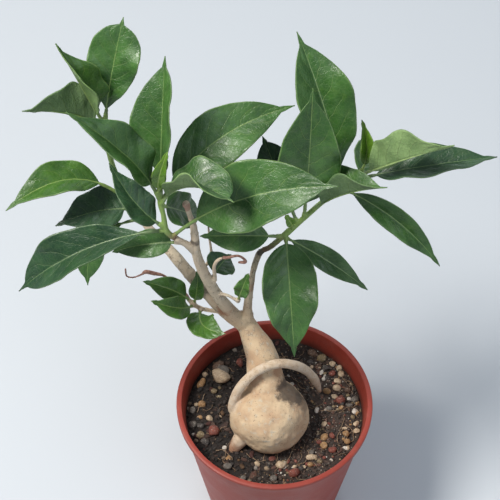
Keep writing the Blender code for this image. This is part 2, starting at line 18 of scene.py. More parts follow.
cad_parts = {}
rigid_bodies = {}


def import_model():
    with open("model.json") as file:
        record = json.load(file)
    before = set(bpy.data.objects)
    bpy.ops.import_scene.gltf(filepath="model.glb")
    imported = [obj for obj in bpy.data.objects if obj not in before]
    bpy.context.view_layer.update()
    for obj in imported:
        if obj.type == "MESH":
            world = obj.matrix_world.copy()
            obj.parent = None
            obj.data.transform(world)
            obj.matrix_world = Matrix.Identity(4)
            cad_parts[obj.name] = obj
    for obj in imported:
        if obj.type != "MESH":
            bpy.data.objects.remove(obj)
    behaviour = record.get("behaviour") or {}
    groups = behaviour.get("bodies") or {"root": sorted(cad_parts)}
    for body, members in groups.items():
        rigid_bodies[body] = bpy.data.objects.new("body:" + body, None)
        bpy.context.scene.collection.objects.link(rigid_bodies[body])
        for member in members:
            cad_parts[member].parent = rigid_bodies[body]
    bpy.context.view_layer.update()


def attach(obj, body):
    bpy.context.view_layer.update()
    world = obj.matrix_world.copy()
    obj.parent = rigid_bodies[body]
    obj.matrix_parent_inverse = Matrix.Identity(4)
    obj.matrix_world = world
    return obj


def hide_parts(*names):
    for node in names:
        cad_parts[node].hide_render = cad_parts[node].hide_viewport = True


LOG = logging.getLogger("potted_baobab")
MM = 0.001
BODY = "root"
UP = Vector((0.0, 0.0, 1.0))
LEAF_FACE = Vector((0.0, -0.5, 0.87)).normalized()


class Slot(Enum):
    """The record's material slots."""

    POT = "pot_plastic"
    SOIL = "potting_mix"
    BARK = "bark"
    SHOOT = "green_stem"
    LEAF = "leaf"
    YOUNG_LEAF = "young_leaf"
    DRIED = "dried_stalk"


class Tone(Enum):
    """How green a leaf is: (upper side, upper side in its hollows, underside, rib), linear colours."""

    MATURE = ((0.042, 0.118, 0.022), (0.021, 0.070, 0.013), (0.11, 0.18, 0.075), (0.16, 0.25, 0.075))
    DARK = ((0.021, 0.066, 0.022), (0.010, 0.040, 0.015), (0.09, 0.15, 0.07), (0.11, 0.18, 0.065))
    FRESH = ((0.044, 0.126, 0.011), (0.023, 0.078, 0.008), (0.13, 0.21, 0.07), (0.18, 0.27, 0.065))
    YOUNG = ((0.095, 0.210, 0.012), (0.060, 0.150, 0.008), (0.20, 0.32, 0.07), (0.30, 0.42, 0.10))
    PALE_BACKED = ((0.034, 0.100, 0.018), (0.016, 0.058, 0.011), (0.19, 0.29, 0.11), (0.24, 0.34, 0.13))


class Bench:
    """A material's node tree, with short ways to lay out the nodes that these finishes share."""

    def __init__(self, name: str) -> None:
        """Starts a material of that name with a Principled shader."""
        self.material = bpy.data.materials.new(name)
        self.material.use_nodes = True
        self.tree = self.material.node_tree
        self.shader = self.tree.nodes["Principled BSDF"]

    def add(self, kind: str, **settings: object) -> bpy.types.Node:
        """Adds a node of a kind and sets its properties."""
        node = self.tree.nodes.new(kind)
        for key, value in settings.items():
            setattr(node, key, value)
        return node

    def feed(self, socket: bpy.types.NodeSocket, value: object) -> None:
        """Links a socket to an output, or sets its value.

        Args:
            socket: the input to fill.
            value: an output socket, a number, a vector or a linear colour.
        """
        if isinstance(value, bpy.types.NodeSocket):
            self.tree.links.new(value, socket)
        elif socket.type == "RGBA":
            socket.default_value = (*value[:3], 1.0)
        else:
            socket.default_value = value

    def place(self) -> bpy.types.NodeSocket:
        """The Object coordinates, in metres in the frame of the part."""
        return self.add("ShaderNodeTexCoord").outputs["Object"]

    def stretched(self, vector: bpy.types.NodeSocket, scale: tuple) -> bpy.types.NodeSocket:
        """The vector with each axis scaled."""
        node = self.add("ShaderNodeMapping")
        self.feed(node.inputs["Vector"], vector)
        node.inputs["Scale"].default_value = scale
        return node.outputs["Vector"]

    def attribute(self, name: str) -> bpy.types.NodeSocket:
        """A number stored on the mesh's points."""
        return self.add("ShaderNodeAttribute", attribute_name=name).outputs["Fac"]

    def maths(self, operation: str, first: object, second: object = 0.0) -> bpy.types.NodeSocket:
        """A sum on two numbers or sockets."""
        node = self.add("ShaderNodeMath", operation=operation)
        self.feed(node.inputs[0], first)
        self.feed(node.inputs[1], second)
        return node.outputs[0]

    def noise(self, vector: bpy.types.NodeSocket, scale: float, detail: float = 4.0,
              roughness: float = 0.55) -> bpy.types.NodeSocket:
        """Cloudy noise from 0 to 1."""
        node = self.add("ShaderNodeTexNoise")
        self.feed(node.inputs["Vector"], vector)
        node.inputs["Scale"].default_value = scale
        node.inputs["Detail"].default_value = detail
        node.inputs["Roughness"].default_value = roughness
        return node.outputs[0]

    def cells(self, vector: bpy.types.NodeSocket, scale: float, feature: str = "F1") -> bpy.types.NodeSocket:
        """Distances in a pattern of cells."""
        node = self.add("ShaderNodeTexVoronoi", feature=feature)
        self.feed(node.inputs["Vector"], vector)
        node.inputs["Scale"].default_value = scale
        return node.outputs["Distance"]

    def span(self, value: object, low: float, high: float, start: float = 0.0,
             end: float = 1.0) -> bpy.types.NodeSocket:
        """A smooth step: start below low, end above high. low may be the larger one."""
        node = self.add("ShaderNodeMapRange", interpolation_type="SMOOTHSTEP")
        if low > high:
            low, high, start, end = high, low, end, start
        for i, number in enumerate((value, low, high, start, end)):
            self.feed(node.inputs[i], number)
        return node.outputs[0]

    def mix(self, factor: object, first: object, second: object, how: str = "MIX") -> bpy.types.NodeSocket:
        """Two colours mixed by a factor."""
        node = self.add("ShaderNodeMix", data_type="RGBA", blend_type=how)
        self.feed(node.inputs[0], factor)
        self.feed(node.inputs[6], first)
        self.feed(node.inputs[7], second)
        return node.outputs[2]

    def ramp(self, factor: bpy.types.NodeSocket, stops: tuple, steps: bool = False) -> bpy.types.NodeSocket:
        """A colour along a row of (place, colour) stops, in steps where asked."""
        node = self.add("ShaderNodeValToRGB")
        band = node.color_ramp
        band.interpolation = "CONSTANT" if steps else "LINEAR"
        while len(band.elements) < len(stops):
            band.elements.new(0.5)
        for element, (place, colour) in zip(band.elements, stops):
            element.position = place
            element.color = (*colour, 1.0)
        self.feed(node.inputs[0], factor)
        return node.outputs[0]

    def near(self, vector: bpy.types.NodeSocket, centre: Vector, reach: float,
             ragged: bpy.types.NodeSocket) -> bpy.types.NodeSocket:
        """A blotch: 1 at a point, 0 beyond its ragged edge.

        Args:
            vector: the Object coordinates.
            centre: the blotch's centre, in metres.
            reach: its radius, in metres.
            ragged: noise that frays its edge.
        """
        node = self.add("ShaderNodeVectorMath", operation="DISTANCE")
        self.feed(node.inputs[0], vector)
        node.inputs[1].default_value = centre
        far = self.maths("DIVIDE", node.outputs["Value"], reach)
        frayed = self.maths("ADD", far, self.maths("MULTIPLY", self.maths("SUBTRACT", ragged, 0.5), 1.6))
        return self.span(frayed, 1.15, 0.65)

    def painted_shade(self, colour: object, vector: bpy.types.NodeSocket, share: float) -> bpy.types.NodeSocket:
        """The colour with painted shade, darker towards the left and rear parts of the pot."""
        parts = self.add("ShaderNodeSeparateXYZ")
        self.feed(parts.inputs[0], vector)
        across = self.maths("ADD", parts.outputs[0], self.maths("MULTIPLY", parts.outputs[1], -0.25))
        frayed = self.maths("ADD", across, self.maths("MULTIPLY", self.noise(vector, 60, 3), 0.024))
        # painted shade: a frayed band darkens the colour towards the pot's left and rear
        dark = self.span(frayed, 0.030, 0.002, 0.0, share)
        return self.mix(dark, colour, self.mix(1.0, colour, (0.16, 0.13, 0.12), "MULTIPLY"))

    def bump(self, height: object, depth: float, strength: float = 1.0,
             under: object = None) -> bpy.types.NodeSocket:
        """A relief of a depth in metres, over another one."""
        node = self.add("ShaderNodeBump")
        self.feed(node.inputs["Height"], height)
        node.inputs["Distance"].default_value = depth
        node.inputs["Strength"].default_value = strength
        if under is not None:
            self.feed(node.inputs["Normal"], under)
        return node.outputs["Normal"]

    def done(self, colour: object, roughness: object, normal: object = None,
             **constants: float) -> bpy.types.Material:
        """Joins the layers to the shader.

        Args:
            colour: the base colour.
            roughness: the roughness.
            normal: the relief.
            **constants: other sockets of the shader, with underscores for spaces.

        Returns:
            The finished material.
        """
        self.feed(self.shader.inputs["Base Color"], colour)
        self.feed(self.shader.inputs["Roughness"], roughness)
        if normal is not None:
            self.feed(self.shader.inputs["Normal"], normal)
        for key, value in constants.items():
            self.shader.inputs[key.replace("_", " ")].default_value = value
        return self.material


@dataclass(frozen=True)
class PotPlastic:
    """Thin terracotta-coloured plastic: dusty outside, stained by the mix inside."""

    lit: tuple = (0.285, 0.042, 0.026)
    deep: tuple = (0.200, 0.026, 0.016)
    dust: tuple = (0.30, 0.10, 0.075)
    stain: tuple = (0.050, 0.022, 0.015)

    def material(self) -> bpy.types.Material:
        """The pot's material."""
        bench = Bench("pot_plastic")
        here = bench.place()
        cloud = bench.noise(here, 45, 5)
        fine = bench.noise(here, 900, 3)
        colour = bench.mix(cloud, self.deep, self.lit)
        film = bench.maths("MULTIPLY", bench.span(bench.noise(here, 120, 6, 0.7), 0.48, 0.75), 0.30)
        colour = bench.mix(film, colour, self.dust)
        parts = bench.add("ShaderNodeSeparateXYZ")
        bench.feed(parts.inputs[0], here)
        flat = bench.add("ShaderNodeCombineXYZ")
        bench.feed(flat.inputs[0], parts.outputs[0])
        bench.feed(flat.inputs[1], parts.outputs[1])
        reach = bench.add("ShaderNodeVectorMath", operation="LENGTH")
        bench.feed(reach.inputs[0], flat.outputs[0])
        inner = bench.maths("SUBTRACT", reach.outputs["Value"],
                            bench.maths("MULTIPLY", parts.outputs[2], 0.1453))
        inside = bench.span(inner, 0.0355, 0.0351)
        low = bench.span(bench.maths("ADD", parts.outputs[2], bench.maths("MULTIPLY", cloud, 0.010)),
                         0.0855, 0.0775)
        dirt = bench.maths("MULTIPLY", inside, low)
        colour = bench.mix(bench.maths("MULTIPLY", dirt, 0.75), colour, self.stain)
        specks = bench.span(bench.cells(here, 420), 0.16, 0.07)
        specks = bench.maths("MULTIPLY", specks, bench.maths("MULTIPLY", inside, 0.8))
        colour = bench.mix(specks, colour, self.stain)
        rough = bench.span(cloud, 0.3, 0.7, 0.42, 0.55)
        rings = bench.noise(bench.stretched(here, (1, 1, 90)), 8, 3)
        normal = bench.bump(fine, 0.00008, 0.5, bench.bump(rings, 0.0002, 0.35))
        return bench.done(colour, rough, normal, Specular_IOR_Level=0.4)


@dataclass(frozen=True)
class SoilCrumb:
    """Dark moist potting mix, with painted shade towards the pot's left and rear."""

    name: str = "potting_mix"
    wet: tuple = (0.010, 0.006, 0.004)
    brown: tuple = (0.048, 0.028, 0.020)
    dry: tuple = (0.150, 0.100, 0.080)

    def material(self) -> bpy.types.Material:
        """The mix's material."""
        bench = Bench(self.name)
        here = bench.place()
        crumbs = bench.noise(here, 900, 6, 0.7)
        patch = bench.noise(here, 90, 3)
        colour = bench.ramp(crumbs, ((0.36, self.wet), (0.56, self.brown), (0.74, self.dry)))
        colour = bench.mix(bench.span(patch, 0.35, 0.7, 0.55, 0.0), colour, self.wet)
        # painted shade towards the pot's left and rear
        colour = bench.painted_shade(colour, here, 0.75)
        normal = bench.bump(crumbs, 0.0006, 0.9)
        return bench.done(colour, bench.span(crumbs, 0.3, 0.7, 0.75, 0.95), normal)


@dataclass(frozen=True)
class Gravel:
    """Stones and chips of several kinds, one tint each."""

    name: str
    kinds: tuple
    roughness: float = 0.75
    # how much painted shade darkens the pot's left and rear
    painted_shade: float = 0.0

    def material(self) -> bpy.types.Material:
        """The stones' material: each stone's tint picks its kind."""
        bench = Bench(self.name)
        here = bench.place()
        tint = bench.attribute("tint")
        stops = tuple((i / len(self.kinds), kind) for i, kind in enumerate(self.kinds))
        colour = bench.ramp(tint, stops, steps=True)
        veins = bench.noise(here, 700, 5, 0.7)
        colour = bench.mix(bench.span(veins, 0.45, 0.62, 0.5, 0.0), colour,
                           bench.mix(1.0, colour, (0.35, 0.28, 0.24), "MULTIPLY"))
        pale = bench.span(bench.noise(here, 1900, 3), 0.58, 0.72, 0.0, 0.45)
        colour = bench.mix(pale, colour, (0.75, 0.68, 0.58))
        # painted shade towards the pot's left and rear
        colour = bench.painted_shade(colour, here, self.painted_shade)
        normal = bench.bump(bench.noise(here, 1500, 5, 0.65), 0.0003, 0.7)
        return bench.done(colour, self.roughness, normal)


@dataclass(frozen=True)
class Bark:
    """Cream and tan bark with fine dark fissures and pits, stained and charred in places, with painted shade
    on the swollen stem's upper right.
    """

    cream: tuple = (0.560, 0.425, 0.275)
    tan: tuple = (0.430, 0.285, 0.175)
    grey: tuple = (0.470, 0.430, 0.345)
    fissure: tuple = (0.100, 0.060, 0.036)
    # near-black: charred marks on the branches, and painted shade on the swollen stem's right side
    char_and_shade: tuple = (0.042, 0.033, 0.028)
    rust: tuple = (0.240, 0.095, 0.045)
    root: tuple = (0.520, 0.440, 0.350)

    def material(self) -> bpy.types.Material:
        """The bark's material. The points' pale_root says where a root's skin is."""
        bench = Bench("bark")
        here = bench.place()
        parts = bench.add("ShaderNodeSeparateXYZ")
        bench.feed(parts.inputs[0], here)
        height = parts.outputs[2]
        broad = bench.noise(here, 70, 4)
        mid = bench.noise(here, 330, 5, 0.65)
        fine = bench.noise(here, 1300, 4, 0.6)
        colour = bench.mix(bench.span(broad, 0.35, 0.65), self.tan, self.cream)
        colour = bench.mix(bench.span(mid, 0.52, 0.72, 0.0, 0.75), colour, self.grey)
        pale = bench.attribute("pale_root")
        skin = bench.mix(bench.span(mid, 0.4, 0.65, 0.0, 0.7), self.root, self.tan)
        colour = bench.mix(bench.maths("MULTIPLY", pale, 0.85), colour, skin)
        aloft = bench.span(height, 0.118, 0.150)
        colour = bench.mix(bench.maths("MULTIPLY", aloft, 0.55), colour, self.grey)
        slits = bench.cells(bench.stretched(here, (1.0, 1.0, 0.36)), 520, "DISTANCE_TO_EDGE")
        crack = bench.span(slits, 0.045, 0.012)
        crack = bench.maths("MULTIPLY", crack, bench.span(mid, 0.46, 0.62))
        crack = bench.maths("MULTIPLY", crack, bench.span(height, 0.104, 0.130, 0.12, 0.9))
        pits = bench.span(bench.cells(here, 760), 0.22, 0.10)
        pits = bench.maths("MULTIPLY", pits, bench.span(bench.noise(here, 160, 2), 0.46, 0.60))
        specks = bench.span(bench.noise(here, 2300, 4, 0.7), 0.60, 0.70, 0.0, 0.7)
        marks = bench.maths("MAXIMUM", bench.maths("MAXIMUM", crack, pits), specks)
        colour = bench.mix(bench.maths("MULTIPLY", marks, 0.85), colour, self.fissure)
        ragged = bench.noise(here, 260, 6, 0.7)
        foot = bench.span(bench.maths("ADD", height, bench.maths("MULTIPLY", ragged, 0.008)), 0.0865, 0.0790)
        colour = bench.mix(bench.maths("MULTIPLY", foot, 0.75), colour, self.rust)
        # the first two blotches, on the swollen stem's upper right under the arching root, are painted shade;
        # the rest are stains, grey bark and charred marks
        for centre, reach, stain, share in (
                (Vector((8.0, -3.0, 100.5)), 9.0, self.char_and_shade, 0.85),
                (Vector((13.5, -6.5, 95.0)), 6.0, self.char_and_shade, 0.5),
                (Vector((-9.0, 2.0, 105.0)), 5.5, self.rust, 0.5),
                (Vector((0.0, 6.0, 107.0)), 5.0, self.rust, 0.5),
                (Vector((-15.0, -17.0, 77.0)), 5.0, self.rust, 0.55),
                (Vector((7.0, 15.0, 104.0)), 6.5, self.grey, 0.5),
                (Vector((-24.5, 22.5, 137.0)), 4.5, self.rust, 0.8),
                (Vector((-37.8, 22.8, 190.5)), 2.6, self.char_and_shade, 0.8),
                (Vector((-41.0, 25.8, 212.5)), 2.8, (0.34, 0.20, 0.15), 0.9),
                (Vector((-12.0, 27.5, 148.5)), 3.6, self.rust, 0.45),
                (Vector((-7.4, 31.5, 170.5)), 2.6, self.char_and_shade, 0.8)):
            blotch = bench.near(here, centre * MM, reach * MM, ragged)
            colour = bench.mix(bench.maths("MULTIPLY", blotch, share), colour, stain)
        rise = bench.maths("SUBTRACT", bench.maths("MULTIPLY", mid, 0.6), bench.maths("MULTIPLY", marks, 0.7))
        rise = bench.maths("ADD", rise, bench.maths("MULTIPLY", fine, 0.25))
        return bench.done(colour, bench.span(fine, 0.3, 0.7, 0.72, 0.92), bench.bump(rise, 0.0006, 0.8),
                          Specular_IOR_Level=0.3)


@dataclass(frozen=True)
class GreenRind:
    """The rind of a green shoot, brown at its foot, with pale lenticels."""

    green: tuple = (0.130, 0.230, 0.050)
    light: tuple = (0.240, 0.340, 0.090)
    brown: tuple = (0.150, 0.085, 0.045)

    def material(self) -> bpy.types.Material:
        """The shoots' material. The points' ripeness runs from a shoot's foot to its tip."""
        bench = Bench("green_rind")
        here = bench.place()
        mid = bench.noise(here, 420, 5, 0.6)
        colour = bench.mix(mid, self.green, self.light)
        age = bench.maths("ADD", bench.attribute("ripeness"), bench.maths("MULTIPLY", mid, 0.35))
        colour = bench.mix(bench.span(age, 0.62, 0.20), colour, self.brown)
        dots = bench.span(bench.cells(bench.stretched(here, (1, 1, 0.6)), 900), 0.20, 0.10)
        colour = bench.mix(bench.maths("MULTIPLY", dots, 0.45), colour, (0.40, 0.36, 0.22))
        streaks = bench.noise(bench.stretched(here, (1, 1, 0.2)), 1600, 3)
        return bench.done(colour, bench.span(mid, 0.3, 0.7, 0.40, 0.58), bench.bump(streaks, 0.0002, 0.6))


@dataclass(frozen=True)
class DriedSkin:
    """Shrivelled reddish-brown skin."""

    dark: tuple = (0.110, 0.040, 0.025)
    pale: tuple = (0.360, 0.200, 0.150)

    def material(self) -> bpy.types.Material:
        """The dried stalks' material."""
        bench = Bench("dried_skin")
        here = bench.place()
        wrinkles = bench.noise(here, 700, 5, 0.7)
        colour = bench.ramp(wrinkles, ((0.35, self.dark), (0.68, self.pale)))
        return bench.done(colour, 0.7, bench.bump(wrinkles, 0.0004, 0.9))


@dataclass(frozen=True)
class LeafSkin:
    """The two faces and the rib of a leaf of one tone."""

    tone: Tone
    pairs: float = 7.0
    lean: float = 1.7

    def veins(self, bench: Bench) -> tuple:
        """The vein pattern on the blade's own coordinates.

        Args:
            bench: the material being made.

        Returns:
            (along, across, rib, side veins, net): along runs 0 to 1, across is 0 at the rib and 1 at the
            margin, and the others are masks.
        """
        blade = bench.add("ShaderNodeSeparateXYZ")
        bench.feed(blade.inputs[0], bench.add("ShaderNodeUVMap", uv_map="blade").outputs[0])
        rule = bench.add("ShaderNodeUVMap", uv_map="ruler").outputs[0]
        ruler = bench.add("ShaderNodeSeparateXYZ")
        bench.feed(ruler.inputs[0], rule)
        along = blade.outputs[0]
        signed = bench.maths("SUBTRACT", blade.outputs[1], 0.5)
        across = bench.maths("MULTIPLY", bench.maths("ABSOLUTE", signed), 2.0)
        wide = bench.maths("ABSOLUTE", bench.maths("SUBTRACT", ruler.outputs[1], 0.5))
        thin = bench.maths("MULTIPLY", bench.maths("SUBTRACT", 1.25, along), 0.0032)
        rib = bench.span(bench.maths("DIVIDE", wide, thin), 1.25, 0.6)
        bent = bench.maths("MULTIPLY", bench.maths("POWER", across, 1.25), self.lean)
        stagger = bench.maths("MULTIPLY", bench.maths("GREATER_THAN", signed, 0.0), 0.5)
        wander = bench.maths("MULTIPLY", bench.noise(rule, 14, 2), 0.5)
        phase = bench.maths("SUBTRACT", bench.maths("MULTIPLY", along, self.pairs), bent)
        phase = bench.maths("ADD", bench.maths("ADD", phase, stagger), wander)
        turn = bench.maths("ABSOLUTE", bench.maths("SUBTRACT", bench.maths("FRACT", phase), 0.5))
        side = bench.span(turn, 0.035, 0.012)
        side = bench.maths("MULTIPLY", side, bench.span(across, 0.97, 0.45))
        side = bench.maths("MULTIPLY", side, bench.span(along, 0.99, 0.85))
        net = bench.span(bench.cells(rule, 55, "DISTANCE_TO_EDGE"), 0.10, 0.02)
        return along, across, rib, side, net

    def upper(self) -> bpy.types.Material:
        """The glossy upper face."""
        high, low, _, line = self.tone.value
        bench = Bench(f"leaf_{self.tone.name.lower()}_upper")
        here = bench.place()
        along, across, rib, side, net = self.veins(bench)
        cloud = bench.noise(here, 85, 4)
        colour = bench.mix(bench.span(cloud, 0.34, 0.66), low, high)
        warm = tuple(c * k for c, k in zip(high, (1.5, 1.15, 0.8)))
        colour = bench.mix(bench.span(bench.noise(here, 200, 5, 0.6), 0.5, 0.75, 0.0, 0.35), colour, warm)
        colour = bench.mix(bench.maths("MULTIPLY", net, 0.10), colour, line)
        colour = bench.mix(bench.maths("MULTIPLY", side, 0.38), colour, line)
        colour = bench.mix(bench.maths("MULTIPLY", rib, 0.85), colour, line)
        colour = bench.mix(bench.span(across, 0.955, 0.995, 0.0, 0.55), colour, line)
        flecks = bench.span(bench.noise(here, 620, 5, 0.75), 0.70, 0.76)
        colour = bench.mix(bench.maths("MULTIPLY", flecks, 0.35), colour, (0.22, 0.20, 0.07))
        grain = bench.noise(here, 1500, 3)
        rise = bench.maths("MULTIPLY", grain, 0.22)
        rise = bench.maths("SUBTRACT", rise, bench.maths("MULTIPLY", side, 0.5))
        rise = bench.maths("SUBTRACT", rise, bench.maths("MULTIPLY", net, 0.16))
        swell = bench.bump(bench.noise(here, 200, 3), 0.0008, 0.5)
        rough = bench.span(bench.noise(here, 300, 4), 0.35, 0.65, 0.34, 0.50)
        return bench.done(colour, rough, bench.bump(rise, 0.00035, 0.8, swell), Specular_IOR_Level=0.5)

    def under(self) -> bpy.types.Material:
        """The duller, paler underside."""
        _, low, back, line = self.tone.value
        bench = Bench(f"leaf_{self.tone.name.lower()}_under")
        here = bench.place()
        along, across, rib, side, net = self.veins(bench)
        cloud = bench.noise(here, 110, 4)
        shade = tuple(0.45 * a + 0.55 * b for a, b in zip(low, back))
        colour = bench.mix(bench.span(cloud, 0.3, 0.7), shade, back)
        colour = bench.mix(bench.maths("MULTIPLY", net, 0.22), colour, line)
        colour = bench.mix(bench.maths("MULTIPLY", side, 0.6), colour, line)
        colour = bench.mix(bench.maths("MULTIPLY", rib, 0.9), colour, line)
        rise = bench.maths("ADD", bench.maths("MULTIPLY", side, 0.9), bench.maths("MULTIPLY", net, 0.35))
        rise = bench.maths("ADD", rise, bench.maths("MULTIPLY", bench.noise(here, 1500, 3), 0.2))
        return bench.done(colour, 0.55, bench.bump(rise, 0.0004, 0.9), Specular_IOR_Level=0.35)

    def rib(self) -> bpy.types.Material:
        """The stalk and the rib."""
        line = self.tone.value[3]
        bench = Bench(f"leaf_{self.tone.name.lower()}_rib")
        here = bench.place()
        mid = bench.noise(here, 500, 4)
        colour = bench.mix(bench.span(mid, 0.35, 0.65), tuple(0.72 * c for c in line), line)
        streaks = bench.noise(bench.stretched(here, (1, 1, 0.4)), 2200, 3)
        return bench.done(colour, 0.42, bench.bump(streaks, 0.0001, 0.6))


def piece_of(bm: bmesh.types.BMesh, name: str, finishes: tuple, crease: float = 180.0) -> bpy.types.Object:
    """Makes a smooth-shaded object of a bmesh, at the origin.

    Args:
        bm: the mesh, in metres in the part's frame. It is freed.
        name: the piece's name.
        finishes: its materials, in slot order.
        crease: the angle in degrees from which an edge stays sharp.

    Returns:
        The new object, linked to the scene.
    """
    mesh = bpy.data.meshes.new(name)
    bm.to_mesh(mesh)
    bm.free()
    mesh.shade_smooth()
    if crease < 180.0:
        mesh.set_sharp_from_angle(angle=math.radians(crease))
    for finish in finishes:
        mesh.materials.append(finish)
    made = bpy.data.objects.new(name, mesh)
    bpy.context.scene.collection.objects.link(made)
    return made


def applied(piece: bpy.types.Object) -> bpy.types.Object:
    """Applies the piece's modifiers."""
    graph = bpy.context.evaluated_depsgraph_get()
    mesh = bpy.data.meshes.new_from_object(piece.evaluated_get(graph))
    piece.modifiers.clear()
    piece.data = mesh
    return piece


def seated(piece: bpy.types.Object, slot: Slot, *nodes: str) -> bpy.types.Object:
    """Lets a piece ride on the part's body, hides the nodes it stands for, and reports it."""
    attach(piece, BODY)
    if nodes:
        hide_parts(*nodes)
    LOG.info("%s: %d faces", piece.name, len(piece.data.polygons))
    return piece


def absorbed(bm: bmesh.types.BMesh, other: bmesh.types.BMesh) -> None:
    """Adds a second bmesh to the first and frees it."""
    spare = bpy.data.meshes.new("spare")
    other.to_mesh(spare)
    other.free()
    bm.from_mesh(spare)
    bpy.data.meshes.remove(spare)


def through(points: list, steps: int) -> list:
    """Points along a smooth curve through the given ones, each a four-part vector."""
    ends = [points[0] * 2 - points[1], *points, points[-1] * 2 - points[-2]]
    found = []
    for i in range(1, len(ends) - 2):
        before, start, end, after = ends[i - 1:i + 3]
        for step in range(steps):
            t = step / steps
            found.append(
                0.5 * (start * 2 + (end - before) * t + (before * 2 - start * 5 + end * 4 - after) * t ** 2
                       + (start * 3 - before - end * 3 + after) * t ** 3))
    return [*found, points[-1].copy()]


def sleeve(stations: list, sides: int) -> bmesh.types.BMesh:
    """A closed round stalk along a row of stations.

    Args:
        stations: (x, y, z, radius) vectors, in metres.
        sides: how many sides it has.

    Returns:
        A bmesh with a ring at every station and a face on each end.
    """
    bm = bmesh.new()
    bmesh.ops.create_cone(bm, cap_ends=True, segments=sides, radius1=1.0, radius2=1.0, depth=1.0)
    upright = [e for e in bm.edges if abs(e.verts[0].co.z - e.verts[1].co.z) > 0.5]
    bmesh.ops.subdivide_edges(bm, edges=upright, cuts=len(stations) - 2, use_grid_fill=True)
    centres = [s.xyz for s in stations]
    ways = [(centres[min(i + 1, len(centres) - 1)] - centres[max(i - 1, 0)]).normalized()
            for i in range(len(centres))]
    across = [ways[0].orthogonal().normalized()]
    for way in ways[1:]:
        across.append((across[-1] - way * across[-1].dot(way)).normalized())
    for vert in bm.verts:
        i = round((vert.co.z + 0.5) * (len(stations) - 1))
        ring = across[i] * vert.co.x + ways[i].cross(across[i]) * vert.co.y
        vert.co = centres[i] + ring * stations[i].w
    return bm


def rounded(stations: list) -> list:
    """The stations with a small dome on the last end."""
    last, before = stations[-1], stations[-2]
    way = (last.xyz - before.xyz).normalized()
    dome = [(0.45, 0.86), (0.75, 0.55)]
    return [*stations, *(Vector((*(last.xyz + way * last.w * rise), last.w * share)) for rise, share in dome)]


@dataclass(frozen=True)
class Stem:
    """A stem's route: (x, y, z, radius) at each bend, in millimetres, from its foot to its tip."""

    route: tuple
    steps: int = 3

    def stations(self, steps: int) -> list:
        """The smooth route as (x, y, z, radius) vectors in metres."""
        return through([Vector(p) * MM for p in self.route], steps)

    def place_on(self, along: float) -> tuple:
        """(point, direction, radius) at a share of the stem's length."""
        route = self.stations(self.steps)
        lengths = [(b.xyz - a.xyz).length for a, b in zip(route, route[1:])]
        left = along * sum(lengths)
        for a, b, length in zip(route, route[1:], lengths):
            if left <= length or b is route[-1]:
                spot = a.lerp(b, min(1.0, left / length))
                return spot.xyz, (b.xyz - a.xyz).normalized(), spot.w
            left -= length
        return None

    def knobbly(self, sides: int, seed: int, amount: float = 0.06) -> bmesh.types.BMesh:
        """The stem as a stalk that swells and thins a little along its length."""
        stations = rounded(self.stations(5))
        for station in stations[1:-2]:
            station.w *= 1 + amount * noise.noise(station.xyz * 160 + Vector((seed, 3, 1)))
        return sleeve(stations, sides)


WOOD = {
    "neck": Stem(((-3, -5, 88, 13.5), (-4.5, 2, 97, 10.2), (-6.5, 12, 109, 8.2),
                  (-11, 18.5, 117, 6.0), (-14.5, 22.5, 123, 4.9), (-17, 22.5, 128, 4.0)), 3),
    "front_branch": Stem(((-14.5, 22, 121, 4.2), (-20.5, 21.7, 132, 3.4), (-28, 21.3, 148.5, 2.9),
                          (-34.3, 21.3, 167.4, 2.7), (-37.4, 21.7, 182, 2.3), (-37.8, 22.8, 191, 2.0),
                          (-38.4, 24.6, 199.4, 1.7), (-40, 25.5, 207, 1.25), (-41.3, 26, 214, 1.7)), 2),
    "back_branch": Stem(((-16, 23, 121, 3.6), (-25, 23.8, 132, 3.3), (-31.1, 25, 141.6, 3.1),
                         (-37.4, 29, 147.2, 3.0), (-42.7, 33, 152.4, 3.0), (-50.2, 38, 160.9, 2.8),
                         (-57, 43, 166, 2.4), (-64, 47.5, 174, 1.7)), 2),
    "right_branch": Stem(((-13, 21, 119, 3.6), (-13.7, 24.4, 133.9, 2.4), (-12.2, 27.4, 148.3, 1.7),
                          (-10.6, 29.9, 159.7, 1.5), (-8.2, 31.7, 168.5, 1.55),
                          (-6.6, 31.8, 171, 1.4)), 2),
    "shoot_foot": Stem(((-37.6, 21.6, 183, 2.0), (-41.1, 21.4, 188.8, 1.7), (-43.8, 21.2, 191.8, 1.5),
                        (-46.4, 21.2, 194.2, 1.5)), 2),
    "side_twig": Stem(((-25, 24, 131.5, 1.4), (-33, 26, 129.6, 1.1), (-38.8, 27, 131.4, 1.1),
                       (-40.6, 27.2, 133.4, 1.2)), 2),
    "bent_twig": Stem(((-31.5, 21.2, 159.5, 1.3), (-29.1, 20.5, 162.8, 1.0), (-29.4, 20.2, 173.3, 0.95),
                       (-27.9, 20.2, 178.4, 0.9), (-25.8, 20.2, 180.6, 0.8)), 2),
    "bare_twig": Stem(((-39.5, 31, 150.5, 1.2), (-34, 36.5, 153, 0.9), (-31.3, 38, 159.5, 0.8),
                       (-31.9, 40, 169, 0.7), (-32.3, 41, 178, 0.6)), 2),
    "low_twig": Stem(((-28.8, 21, 151, 1.2), (-26, 19.3, 153, 0.9), (-22.6, 18.5, 152.5, 0.8),
                      (-18.2, 17.8, 149, 0.9)), 2),
    "arching_root": Stem(((-15, -9, 84, 3.4), (-20.6, -7.5, 90, 3.0), (-19.6, -4.5, 99, 2.5),
                          (-15, -2.2, 108, 2.4), (-9.5, 0.2, 113.2, 2.3), (-3.6, 2.4, 115.2, 2.3),
                          (2.8, 4.2, 114.8, 2.4), (9.3, 6, 110.5, 2.4), (15, 8.5, 102.5, 2.4),
                          (19.6, 10.5, 92, 2.2), (22.6, 11.4, 82, 1.7), (23.6, 11.6, 76.8, 1.2)), 2),
    "buttress_root": Stem(((-12, -14, 84, 5.0), (-17, -18, 79, 4.2), (-20.5, -20.5, 74, 3.0),
                           (-22, -22, 68, 2.0)), 2),
}

